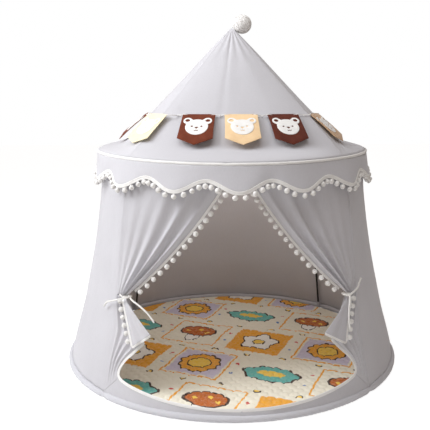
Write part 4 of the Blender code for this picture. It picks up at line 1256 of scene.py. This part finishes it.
def flapPlace(a, d, side):
    # It hangs from the tie, and soon stands clear of the foot's folds and its own pompoms.
    look = flapLook
    top = door["tieHeight"] - door["tieRadius"] - tent["gap"]
    neckLow = (tieKnot + look["neck"] / tieSeamRadius, top)
    neckFold = (tieKnot + tent["slack"] / tieSeamRadius, top)
    corner = (tieKnot - look["lean"][side] / tieSeamRadius, top - look["length"])
    fold = (corner[0] - look["width"][side] / tieSeamRadius, corner[1] + look["rise"])
    edge = [lerp(p, q, d) for p, q in zip(neckLow, corner)]
    far = [lerp(p, q, d) for p, q in zip(neckFold, fold)]
    azimuth, height = (lerp(p, q, a) for p, q in zip(edge, far))
    taped = neckLow[0] + door["hemWidth"] / tieSeamRadius
    neck = doorRadius(taped, top) + look["footStand"] + tent["slack"]
    stand = look["footStand"] + look["pompomRadius"] + tent["cloth"] + tent["slack"]
    radius = lerp(neck, doorRadius(azimuth, height) + stand, smooth(d / look["bendShare"]))
    radius += look["fold"] * d * arch(a * 2) ** 2
    return azimuth, radius, height


def flapEdge(share, side):
    # Down the flap's front edge to its corner, then along its foot.
    azimuth, radius, height = flapPlace(max(0.0, 2 * share - 1), min(1.0, 2 * share), side)
    out, up = outward(azimuth), Vector((0.0, 0.0, 1.0))
    turn = smooth((share - 0.47) / 0.06)
    way = (out.cross(-up) * (1 - turn) - up * turn).normalized()
    return mirrored(side, polar(azimuth, radius, height), way, out)


def makeFlap(name, side):
    look, body = flapLook, name + "_flap"

    def place(a, d):
        azimuth, radius, height = flapPlace(a, d, side)
        return polar(side * azimuth, radius, height)

    flap = name + "_curtain_flap"
    piece = clothPiece(flap + "_cloth", *gridOf(look), place)
    onBody(piece, body, "grey_cloth", flap)
    pompoms = [share / 2 for share in evenly(look["length"], door["hemPitch"] * look["pitchShare"])]
    tape, balls = trimming(body + "_tape", lambda share: flapEdge(share, side),
                           look["length"] + look["width"][side], door["hemWidth"], pompoms)
    sewnOn(tape, balls, body, body + "_trim")
    cutArea(piece)


makeSill()
makeBinding()
for curtainName, curtainSide in sides.items():
    makeCurtain(curtainName, curtainSide)
    makeCurtainFoot(curtainName, curtainSide)
    makeFlap(curtainName, curtainSide)
print("door and curtains made")


# Bunting

flagLook = {
    "width": 0.118, "length": 0.149, "point": 0.027, "thickness": 0.002, "head": 0.0016, "flare": 0.004,
    "trimmed": 0.001, "steps": 6, "roofGap": 0.010, "slot": 0.011, "slotHeight": 0.0028, "slotEdge": 0.010,
    "faceWidth": 0.080, "faceHeight": 0.075, "faceThickness": 0.0014, "faceDrop": 0.069, "faceSteps": 120,
    "earRadius": 0.0160, "bevel": 0.0003, "cordRadius": 0.0016, "longEdge": 0.012,
    # Flags 2, 4 and 6 are of one cream felt and flags 1, 3 and 5 of one brown felt; flag 2's has painted
    # light, and flags 5 and 6 painted shade.
    "felts": (brownFelt, litCreamFelt, brownFelt, creamFelt, shadedBrownFelt, shadedCreamFelt),
}
cordLine = {
    "beside": 0.004, "lift": 0.0012, "sag": 0.0014, "clear": 0.012, "ringRadius": 0.32, "steps": 4,
    "droop": 0.0035, "roofGap": 0.004, "tuck": 0.002, "backSteps": 60, "backGap": 0.007,
}
bearMarks = {  # in shares of the face's half width and half height
    "nose": ((-0.17, -0.04), (-0.08, -0.01), (0.08, -0.01), (0.17, -0.04), (0.10, -0.17), (0.0, -0.26),
             (-0.10, -0.17)),
    "smile": ((-0.22, -0.40), (-0.19, -0.38), (-0.11, -0.47), (0.0, -0.40), (0.11, -0.47), (0.19, -0.38),
              (0.22, -0.40), (0.12, -0.57), (0.0, -0.50), (-0.12, -0.57)),
}


def flagPose(number):
    # The hinge's place and the flag's directions across, up and out, from its joint and its solid.
    joint = cadJoints[f"flag_{number}_lift"]
    origin, across = Vector(joint["pos_m"]), -Vector(joint["axis"]).normalized()
    broad = max(bpy.data.objects[f"flag_{number}"].data.polygons, key=lambda face: face.area)
    out = Vector(broad.normal)
    out = -out if out.dot(Vector((origin.x, origin.y, 0))) < 0 else out
    return origin, across, out.cross(across).normalized(), out


def triangulated(form):  # a cut shape's broad faces, as triangles
    bmesh.ops.triangulate(form, faces=[face for face in form.faces if len(face.verts) > 4])


def cutFelt(name, outlines, thickness, finish):
    bevel = flagLook["bevel"]
    curve = bpy.data.curves.new(name, "CURVE")
    curve.dimensions = "2D"
    curve.fill_mode = "BOTH"
    curve.extrude = thickness / 2 - bevel
    curve.bevel_depth = bevel
    curve.bevel_resolution = 1
    curve.offset = -bevel
    for outline in outlines:
        run = curve.splines.new("POLY")
        run.points.add(len(outline) - 1)
        for knot, (x, y) in zip(run.points, outline):
            knot.co = (x, y, 0.0, 1.0)
        run.use_cyclic_u = True
    made = settled(link(name, curve, finish))
    form = bmesh.new()
    form.from_mesh(made.data)
    bmesh.ops.remove_doubles(form, verts=form.verts[:], dist=bevel / 10)
    triangulated(form)
    form.to_mesh(made.data)
    form.free()
    made.data.shade_smooth()
    made.data.set_sharp_from_angle(angle=math.radians(40))
    return made


def ovalOutline(x, y, halfWidth, halfHeight, count=20, turn=0.0):
    return [(x + halfWidth * math.cos(angle + turn), y + halfHeight * math.sin(angle + turn))
            for angle in turns(count)]


def faceOutlines():
    # A broad oval with two round ears, and the holes of its ears, eyes, nose and smile.
    look = flagLook
    wide, tall, earRadius = look["faceWidth"] / 2, look["faceHeight"] / 2, look["earRadius"]
    ear = (wide * 0.86, tall * 0.80)
    outline = []
    for step in range(look["faceSteps"]):
        angle = 2 * math.pi * (step + 0.5) / look["faceSteps"]
        way = (math.cos(angle), math.sin(angle))
        reach = 1 / math.hypot(way[0] / wide, way[1] / tall)
        for side in (-1, 1):
            along = side * ear[0] * way[0] + ear[1] * way[1]
            off = side * ear[0] * way[1] - ear[1] * way[0]
            if along > 0 and abs(off) < earRadius:
                reach = max(reach, along + math.sqrt(earRadius ** 2 - off ** 2))
        outline.append((reach * way[0], reach * way[1]))
    holes = [ovalOutline(side * ear[0] * 1.04, ear[1] * 1.06, earRadius * 0.52, earRadius * 0.45)
             for side in (-1, 1)]
    holes += [ovalOutline(side * wide * 0.42, tall * 0.06, wide * 0.095, tall * 0.10, 12, side * 0.3)
              for side in (-1, 1)]
    holes += [[(wide * x, tall * y) for x, y in marks] for marks in bearMarks.values()]
    return [outline, *holes]


def flagOutlines():
    look = flagLook
    half, low = look["width"] / 2, look["head"] - look["length"]
    right = [(half + look["flare"] * share ** 2 - look["trimmed"],
              lerp(look["head"], low + look["point"], share)) for share in evenShares(look["steps"])]
    outline = right + [(0.0, low)] + [(-x, y) for x, y in reversed(right)]
    slots = []
    for side in (-1, 1):
        far = side * (half - look["slotEdge"])
        near = far - side * look["slot"]
        slots.append([(far, 0.0), (near, 0.0), (near, -look["slotHeight"]), (far, -look["slotHeight"])])
    return [outline, *slots]


def roofGap(origin, up, out):
    # How far the roof's cloth lies behind a flat flag's foot.
    foot = origin - up * flagLook["length"]
    azimuth = azimuthOf(foot)
    return (foot.xy.length - roofRadius(azimuth, foot.z)) * out.dot(outward(azimuth))


def curled(piece, bend, drop):
    # Felt is never flat: it bows across, and its foot settles towards the roof.
    look = flagLook
    form = bmesh.new()
    form.from_mesh(piece.data)
    long = [edge for edge in form.edges if edge.calc_length() > look["longEdge"]]
    bmesh.ops.subdivide_edges(form, edges=long, cuts=3, use_grid_fill=True)
    triangulated(form)
    for corner in form.verts:
        x, y = corner.co.x / (look["width"] / 2), max(0.0, -corner.co.y / look["length"])
        corner.co.z += bend * x * x * y - drop * y ** 2
    form.to_mesh(piece.data)
    form.free()
    return piece


def makeFlag(number):
    look, node = flagLook, f"flag_{number}"
    origin, across, up, out = flagPose(number)
    pose = Matrix.Translation(origin) @ Matrix((across, up, out)).transposed().to_4x4()
    bend = 0.0012 + 0.0008 * math.sin(number * 2.1)
    drop = max(0.0, roofGap(origin, up, out) - look["roofGap"] - 0.002 * math.cos(number * 1.7))
    flag = cutFelt(node + "_felt", flagOutlines(), look["thickness"], look["felts"][number - 1])
    face = cutFelt(node + "_bear_felt", faceOutlines(), look["faceThickness"], whiteFelt)
    for corner in face.data.vertices:
        corner.co.y += look["head"] - look["faceDrop"]
    flagOut = look["cordRadius"] + tent["gap"] + look["thickness"] / 2
    faceOut = look["cordRadius"] + 1.5 * tent["gap"] + look["thickness"] + look["faceThickness"] / 2
    for piece, height in ((flag, flagOut), (face, faceOut)):
        curled(piece, bend, drop).matrix_world = pose @ Matrix.Translation((0, 0, height))
    onBody(flag, node, "brown_felt" if number % 2 else "cream_felt", node)
    onBody(face, node, "white_felt", node + "_bear")
    return origin, across, up, out


def makeBuntingCord(places):
    # Down through each flag's slots and behind its middle, over the roof between them and on round the back.
    look, line = flagLook, cordLine
    radius, half, height = look["cordRadius"], look["width"] / 2, places[0][0].z
    clear = radius + look["thickness"] + tent["gap"]
    outer = half - look["slotEdge"]
    right = [(0.0, 0.0), (outer - look["slot"], 0.0), (outer, clear * 0.8),
             (half - line["beside"], clear + line["lift"]), (half + line["beside"], 0.0)]
    route = [(-x, z) for x, z in reversed(right[1:])] + right
    points = []
    for number, (origin, across, up, out) in enumerate(places):
        for x, z in route:
            sag = line["sag"] if z > 0 else 0.0
            points.append(origin + across * x + out * z - up * sag)
        if number < len(places) - 1:
            there = places[number + 1][0]
            turn = (half + line["clear"]) / line["ringRadius"]
            for share in evenShares(line["steps"]):
                azimuth = lerp(azimuthOf(origin) + turn, azimuthOf(there) - turn, share)
                low = height - line["droop"] * arch(share)
                onRoof = roofRadius(azimuth, low) + radius + line["roofGap"]
                between = lerp(origin.xy.length, there.xy.length, share) - line["tuck"]
                points.append(polar(azimuth, max(onRoof, between), low))
    start = azimuthOf(points[-1])
    turn = (azimuthOf(points[0]) - start) % (2 * math.pi)
    for share in evenShares(line["backSteps"])[1:-1]:
        azimuth = start + turn * share
        points.append(polar(azimuth, roofRadius(azimuth, height) + radius + line["backGap"], height))
    piece = tube("bunting_string", points, lambda share: radius, 8, closed=True)
    onRoot(piece, "white_trim", "bunting_cord")


makeBuntingCord([makeFlag(number) for number in range(1, 7)])
print("bunting made")


# Pompom on the tip

topLook = {
    "radius": 0.0365, "coreShare": 0.955, "lumps": 0.0022, "reach": 0.042, "stemRadius": 0.0027,
    "strands": 5200, "strandRadius": 0.0008, "rootShare": 0.78, "tipShare": 0.975, "tipSpread": 0.035,
    "bend": 0.10, "rootThick": 1.5, "tipThick": 0.8,
}


def addStrand(form, centre, draw):
    look = topLook
    spoke = Vector((draw.gauss(0, 1), draw.gauss(0, 1), draw.gauss(0, 1))).normalized()
    reach = look["radius"] * (look["tipShare"] + look["tipSpread"] * draw.random())
    sway = Vector((draw.gauss(0, 1), draw.gauss(0, 1), draw.gauss(0, 1))) * look["bend"]
    side = spoke.orthogonal().normalized() * look["strandRadius"]
    other = spoke.cross(side).normalized() * look["strandRadius"]
    root, tip = spoke * look["radius"] * look["rootShare"], (spoke + sway).normalized() * reach
    rings = [[form.verts.new(centre + point + (side * cosine + other * sine) * thick)
              for sine, cosine in circle(3)]
             for point, thick in ((root, look["rootThick"]), (tip, look["tipThick"]))]
    joinRows(form, rings, True)
    for ring in rings:
        form.faces.new(ring)


def makeTopPompom():
    look = topLook
    joint = cadJoints["pompom_flop"]
    pivot = Vector(joint["pos_m"])
    lean = math.radians(-joint["range_deg"][0] / 2)
    axis = Vector((math.sin(lean), 0.0, math.cos(lean)))
    centre = pivot + axis * look["reach"]
    form = bmesh.new()
    bmesh.ops.create_icosphere(form, subdivisions=4, radius=look["radius"] * look["coreShare"],
                               matrix=Matrix.Translation(centre))
    for corner in form.verts:
        spoke = (corner.co - centre).normalized()
        corner.co += spoke * noise.noise(spoke * 5) * look["lumps"]
    draw = random.Random(8)
    for _ in range(look["strands"]):
        addStrand(form, centre, draw)
    sweep(form, alongFrames([pivot + axis * 0.002 * k for k in range(6)]),
          lambda k: roundProfile(look["stemRadius"], 10))
    onBody(closedPiece("top_pompom_yarn", form, softYarn, 70), "pompom", "white_trim", "top_pompom")


makeTopPompom()
print("top pompom made")


# Mat

matLook = {
    "radius": 0.617, "low": 0.0018, "thickness": 0.022, "edge": 0.010, "step": 0.0052, "sides": 720,
    "rimSteps": 6, "cell": 0.027, "stretch": 1.35, "jitter": 0.36, "stitch": 0.32, "puff": 0.0055,
    "level": 0.75, "fade": 0.03, "waves": 0.0012,
}


def quiltKnot(column, row):
    draw, jitter = noise.cell_vector(Vector((column, row, 3.5))), matLook["jitter"]
    return column + 0.5 * (row % 2) + jitter * (draw.x - 0.5), row + jitter * (draw.y - 0.5)


def quilt(x, y):
    # Pebble-like sewn cells round jittered knots: 0 on a stitch line and 1 in a cell's middle.
    across, up = x / matLook["cell"] / matLook["stretch"], y / matLook["cell"]
    column, row = math.floor(across), math.floor(up)
    near = sorted(math.hypot(across - knotX, up - knotY) for knotX, knotY in
                  (quiltKnot(column + i, row + j) for i in (-1, 0, 1) for j in (-1, 0, 1, 2)))
    return smooth((near[1] - near[0]) / matLook["stitch"]) ** 0.7


def makeMat():
    # Rings of quilted cells out to the edge, then down round its rim.
    look = matLook
    top, bulge = look["low"] + look["thickness"], look["thickness"] / 2
    flatRadius = look["radius"] - look["edge"]
    rings = round(look["radius"] / look["step"])
    azimuths = turns(look["sides"])

    def quilted(radius, azimuth):
        x, y = radius * math.sin(azimuth), -radius * math.cos(azimuth)
        edge = smooth((look["radius"] - radius) / look["fade"])
        relief = look["puff"] * (quilt(x, y) - look["level"]) * edge
        return Vector((x, y, top + (relief + look["waves"] * wander(101, x * 7, y * 7))))

    form = bmesh.new()
    rows = [[form.verts.new(quilted(flatRadius * k / rings, azimuth)) for azimuth in azimuths]
            for k in range(1, rings + 1)]
    for step in range(1, look["rimSteps"] + 1):
        angle = math.radians(90 - 180 * step / look["rimSteps"])
        radius = flatRadius + look["edge"] * math.cos(angle)
        height = look["low"] + bulge + bulge * math.sin(angle)
        rows.append([form.verts.new(polar(azimuth, radius, height)) for azimuth in azimuths])
    joinRows(form, rows, True)
    for row, middle in ((rows[0], top), (rows[-1], look["low"])):
        centre = form.verts.new((0, 0, middle))
        for one, other in zip(row, row[1:] + row[:1]):
            form.faces.new((centre, other, one))
    piece = closedPiece("mat_quilt", form, matFinish(), 180)
    onRoot(piece, "mat_cloth", "mat")


printLook = {
    "pitch": 0.292, "turnDeg": -24, "rowShift": 0.5, "shift": (0.10, 0.42), "wobble": 0.08,
    "wobbleScale": 14.0, "brushScale": 90.0, "weaveScale": 600.0, "weaveHeight": 0.0004,
    "roughness": 0.9, "sheen": 0.15,
    "ground": paint(242, 237, 220), "orange": paint(238, 170, 60), "brown": paint(190, 104, 46),
    "teal": paint(108, 186, 178), "yellow": paint(246, 208, 92), "lilac": paint(214, 206, 224),
    "red": paint(206, 84, 72), "blue": paint(92, 130, 190), "line": paint(66, 44, 34),
    "white": paint(248, 245, 238),
}


def matFinish():
    # A printed pattern on a brick grid of cells: flowers, suns, leaves and mushrooms, and small bits.
    look = printLook
    finish, place = newFinish("mat_print", look["roughness"], {"Sheen Weight": look["sheen"],
                                                               "Specular IOR Level": 0.2})
    x, y, z = place.parts()
    turn = math.radians(look["turnDeg"])
    along = (x * math.cos(turn) + y * math.sin(turn)) / look["pitch"] + look["shift"][0]
    up = (y * math.cos(turn) - x * math.sin(turn)) / look["pitch"] + look["shift"][1]
    row = up.sum("FLOOR", up)
    shifted = along + row * look["rowShift"]
    column = shifted.sum("FLOOR", shifted)
    wobble = (place.noise(look["wobbleScale"], 2.0) - 0.5) * look["wobble"]
    u, v = shifted - column - 0.5 + wobble, up - row - 0.5 + wobble
    turned = column + row * 2.0
    kind = turned.sum("FLOORED_MODULO", turned, 4.0)
    reach = (u * u + v * v) ** 0.5
    angle = u.sum("ARCTAN2", v, u)
    square = u.sum("MAXIMUM", abs(u), abs(v))
    colour = None

    def petals(count, depth, size):  # how far outside a shape with this many petals
        return reach - ((angle * count).sine() * depth + 1.0) * size

    def ovalAt(shiftU, shiftV, wide, tall, size):
        return (((u - shiftU) / wide) ** 2.0 + ((v - shiftV) / tall) ** 2.0) ** 0.5 - size

    def within(distance, softness=0.006):
        return distance.between(-softness, softness, 1.0, 0.0)

    def line(distance, width=0.010):
        return abs(distance).between(width, width + 0.006, 1.0, 0.0)

    def over(mask, paintPot):
        nonlocal colour
        colour = mask.colours(look["ground"] if colour is None else colour, look[paintPot])

    flowers, suns, leaves, caps = (1.0 - (abs(kind - number) > 0.5) for number in range(4))
    over(flowers * within(square - 0.40), "orange")
    flower = petals(5.0, 0.16, 0.25)
    over(flowers * within(flower), "white")
    over(flowers * line(flower), "line")
    over(flowers * within(reach - 0.08), "yellow")
    over(flowers * line(reach - 0.08, 0.007), "line")
    over(suns * within(square - 0.36), "lilac")
    over(suns * line(square - 0.40), "orange")
    rays = petals(11.0, 0.06, 0.27)
    over(suns * within(rays), "orange")
    over(suns * line(rays), "line")
    over(suns * within(reach - 0.15), "yellow")
    over(suns * line(reach - 0.15, 0.007), "line")
    leaf = ovalAt(0.0, 0.0, 1.55, 0.86, 0.24) - (angle * 9.0).sine() * 0.016
    over(leaves * within(leaf), "teal")
    over(leaves * line(leaf, 0.008), "line")
    over(leaves * within(ovalAt(0.0, 0.02, 1.5, 0.55, 0.13)), "yellow")
    over(caps * line(square - 0.40), "orange")
    for part, paintPot in ((ovalAt(0.0, -0.13, 0.50, 0.80, 0.22), "white"),
                           (ovalAt(0.0, 0.07, 1.35, 0.90, 0.20), "brown")):
        over(caps * within(part), paintPot)
        over(caps * line(part), "line")
    for shiftU, shiftV in ((-0.14, 0.06), (0.02, 0.12), (0.15, 0.04)):
        over(caps * within(ovalAt(shiftU, shiftV, 1.0, 0.8, 0.036)), "yellow")
    fromSide, fromRow = 0.5 - abs(u), 0.5 - abs(v)  # small bits at the cells' corners and edges
    corner = (fromSide * fromSide + fromRow * fromRow) ** 0.5 - 0.042
    over(within(corner), "yellow")
    over(line(corner, 0.006), "line")
    over(within((fromSide * fromSide + (v - 0.16) ** 2.0) ** 0.5 - 0.026), "red")
    over(within((fromSide * fromSide + (v + 0.14) ** 2.0) ** 0.5 - 0.024), "blue")
    brush = place.noise(look["brushScale"], 4.0, 0.7)
    shown = brush.between(0.30, 0.52, 0.80, 1.0).colours(look["ground"], colour)
    return feed(finish, Base_Color=shown, Roughness=brush.between(0.3, 0.7, 0.82, 0.95),
                Normal=place.noise(look["weaveScale"], 3.0).bump(0.3, look["weaveHeight"]))


makeMat()
print("mat made")


# Floor sheet, poles and their pockets

sheetLook = {"innerRadius": 0.50, "radius": 0.652, "sides": 240, "rows": 12, "thickness": 0.001,
             "lift": 0.0012, "waves": 0.0016}
poleLook = {"sides": 20, "steps": 12, "bevel": 0.0015, "tipShare": 0.6}
pocketLook = {
    "wall": 0.0017, "sides": 24, "ripple": 0.03,
    "stations": (  # heights, and the shares of the wall outside the bore
        (-0.0006, 0.5), (0.0, 1.0), (0.006, 1.05), (0.020, 1.02), (0.032, 1.06), (0.036, 1.20),
        (0.036, 0.15), (0.004, 0.0),
    ),
}


def makeFloorSheet():
    look = sheetLook

    def place(azimuth, d):
        radius = lerp(look["innerRadius"], look["radius"], d)
        wave = abs(wander(111, azimuth * 14, radius * 20)) * smooth((look["radius"] - radius) / 0.01)
        return polar(azimuth, radius, look["lift"] + look["waves"] * wave)

    form = bmesh.new()
    rows = [[form.verts.new(place(azimuth, d)) for azimuth in turns(look["sides"])]
            for d in evenShares(look["rows"])]
    joinRows(form, rows, True)
    form.faces.new(rows[0])
    piece = thickened(closedPiece("floor_sheet_cloth", form, floorCloth, 60), look["thickness"], 1.0)
    onRoot(piece, "floor_cloth", "floor_sheet")
    cutArea(piece)


def nodeAxis(name):
    # The ends of a straight bar's axis: the middles of its lower and its upper corners.
    places = [vertex.co.copy() for vertex in bpy.data.objects[name].data.vertices]
    places.sort(key=lambda place: place.z)
    count = len(places) // 2
    return sum(places[:count], Vector()) / count, sum(places[-count:], Vector()) / count


def makePole(name):
    look = poleLook
    low, high = nodeAxis(name)
    length, run = (high - low).length, (high - low).normalized()
    stations = [(0.0, look["tipShare"]), (look["bevel"], 1.0)]
    stations += [(length * k / look["steps"], 1.0) for k in range(1, look["steps"])]
    stations += [(length - look["bevel"], 1.0), (length, look["tipShare"])]
    form = bmesh.new()
    sweep(form, alongFrames([low + run * at for at, _ in stations]),
          lambda k: roundProfile(tent["poleRadius"] * stations[k][1], look["sides"]))
    onRoot(closedPiece(name + "_rod", form, poleBlack, 50), "black_pole", name)


def makePocket(name):
    # A folded cup of cloth round the pole's foot, flared at its mouth.
    look, node = pocketLook, "pole_pocket_" + name
    low, high = nodeAxis("wall_pole_" + name)
    run = (high - low).normalized()
    _, side, other = alongFrames([low, high])[0]

    def profile(k):
        at, share = look["stations"][k]
        reach = tent["poleRadius"] + tent["gap"] + look["wall"] * share
        ripple = look["ripple"] if share else 0.0
        pairs = []
        for angle in turns(look["sides"]):
            rippled = reach * (1 + ripple * math.sin(3 * angle + at * 90))
            pairs.append((rippled * math.cos(angle), rippled * math.sin(angle)))
        return pairs

    form = bmesh.new()
    sweep(form, [(low + run * at, side, other) for at, _ in look["stations"]], profile)
    onRoot(closedPiece(node + "_cloth", form, greyCloth, 60), "grey_cloth", node)


makeFloorSheet()
for cornerName in corners:
    makePole("wall_pole_" + cornerName)
    makePole("roof_pole_" + cornerName)
    makePocket(cornerName)
hardNodes = {"top_hub": plasticBlack, "base_hoop": steelWire, "eave_hoop": steelWire}
hardNodes.update(("eave_elbow_" + cornerName, plasticBlack) for cornerName in corners)
for nodeName, nodeFinish in hardNodes.items():
    nodeMesh = bpy.data.objects[nodeName].data
    nodeMesh.materials.clear()
    nodeMesh.materials.append(nodeFinish)
print("poles and floor made")


# Floor, backdrop and light

studio = {
    "floorColour": paint(250, 250, 250),
    "floorGlow": 1.25,
    "floorShare": 0.74,
    "floorSize": 12.0,
    "floorDrop": 0.0002,
    "lamps": (  # name, place, what it points at, size and watts
        ("key", (-2.7, -0.9, 2.7), (0, 0, 0.6), 2.0, 105.0),
        ("top", (-0.4, -1.0, 3.6), (0, 0, 0.6), 2.4, 44.0),
        ("fill", (2.4, -3.0, 1.4), (0, 0, 0.5), 2.5, 4.0),
    ),
    "lampTint": (0.95, 0.975, 1.0),
    "insidePlace": (0, 0, 0.80),
    "insideSize": 0.25,
    "insideWatts": 4.0,
    "insideTint": (1.0, 0.90, 0.80),
    "worldStrength": 0.25,
    "worldTint": (1.0, 0.83, 0.70, 1.0),
}


def seenDirectly(tree):  # 1 for what the camera sees itself, in a reflection or through glass
    paths = tree.nodes.new("ShaderNodeLightPath").outputs
    camera, glossy, through = (Wire(paths[f"Is {ray} Ray"]) for ray in ("Camera", "Glossy", "Transmission"))
    return camera.sum("MAXIMUM", camera.sum("MAXIMUM", camera, glossy), through)


def whiteOver(tree, output, under, share, kind, strength):  # a share of plain white light over a shader
    white = share.node(kind, {}, {"Color": (1, 1, 1, 1), "Strength": strength})
    mixed = share.node("MixShader", {}, {0: share, 1: under, 2: white})
    tree.links.new(mixed.socket, tree.nodes[output].inputs["Surface"])


def makeStage():
    mesh = bpy.data.meshes.new("studio_floor")
    form = bmesh.new()
    bmesh.ops.create_grid(form, x_segments=1, y_segments=1, size=studio["floorSize"])
    form.to_mesh(mesh)
    form.free()
    finish = bpy.data.materials.new("studio_floor")
    finish.use_nodes = True
    tree = finish.node_tree
    shader = tree.nodes["Principled BSDF"]
    shader.inputs["Base Color"].default_value = studio["floorColour"]
    shader.inputs["Roughness"].default_value = 0.9
    whiteOver(tree, "Material Output", Wire(shader.outputs[0]), seenDirectly(tree) * studio["floorShare"],
              "Emission", studio["floorGlow"])
    floor = link("studio_floor", mesh, finish)
    floor.location.z = -studio["floorDrop"]


def makeWorld():
    world = bpy.data.worlds.new("studio")
    bpy.context.scene.world = world
    world.use_nodes = True
    tree = world.node_tree
    dim = tree.nodes["Background"]
    dim.inputs["Color"].default_value = studio["worldTint"]
    dim.inputs["Strength"].default_value = studio["worldStrength"]
    whiteOver(tree, "World Output", Wire(dim.outputs[0]), seenDirectly(tree), "Background", 1.0)


def addLamp(name, kind, watts, tint):
    data = bpy.data.lights.new(name, kind)
    data.energy = watts
    data.color = tint
    return addToScene(name, data)


def softbox(name, place, target, size, watts):
    lamp = addLamp(name, "AREA", watts, studio["lampTint"])
    lamp.data.shape = "SQUARE"
    lamp.data.size = size
    aim(lamp, place, Vector(target) - Vector(place))


def insideGlow():
    # The light that comes through thin cloth and fills the cabin.
    lamp = addLamp("inside", "POINT", studio["insideWatts"], studio["insideTint"])
    lamp.data.shadow_soft_size = studio["insideSize"]
    lamp.location = studio["insidePlace"]
    lamp.visible_camera = False


makeStage()
makeWorld()
for lampPlan in studio["lamps"]:
    softbox(*lampPlan)
insideGlow()
bpy.context.scene.view_settings.view_transform = "Standard"
print("studio made")
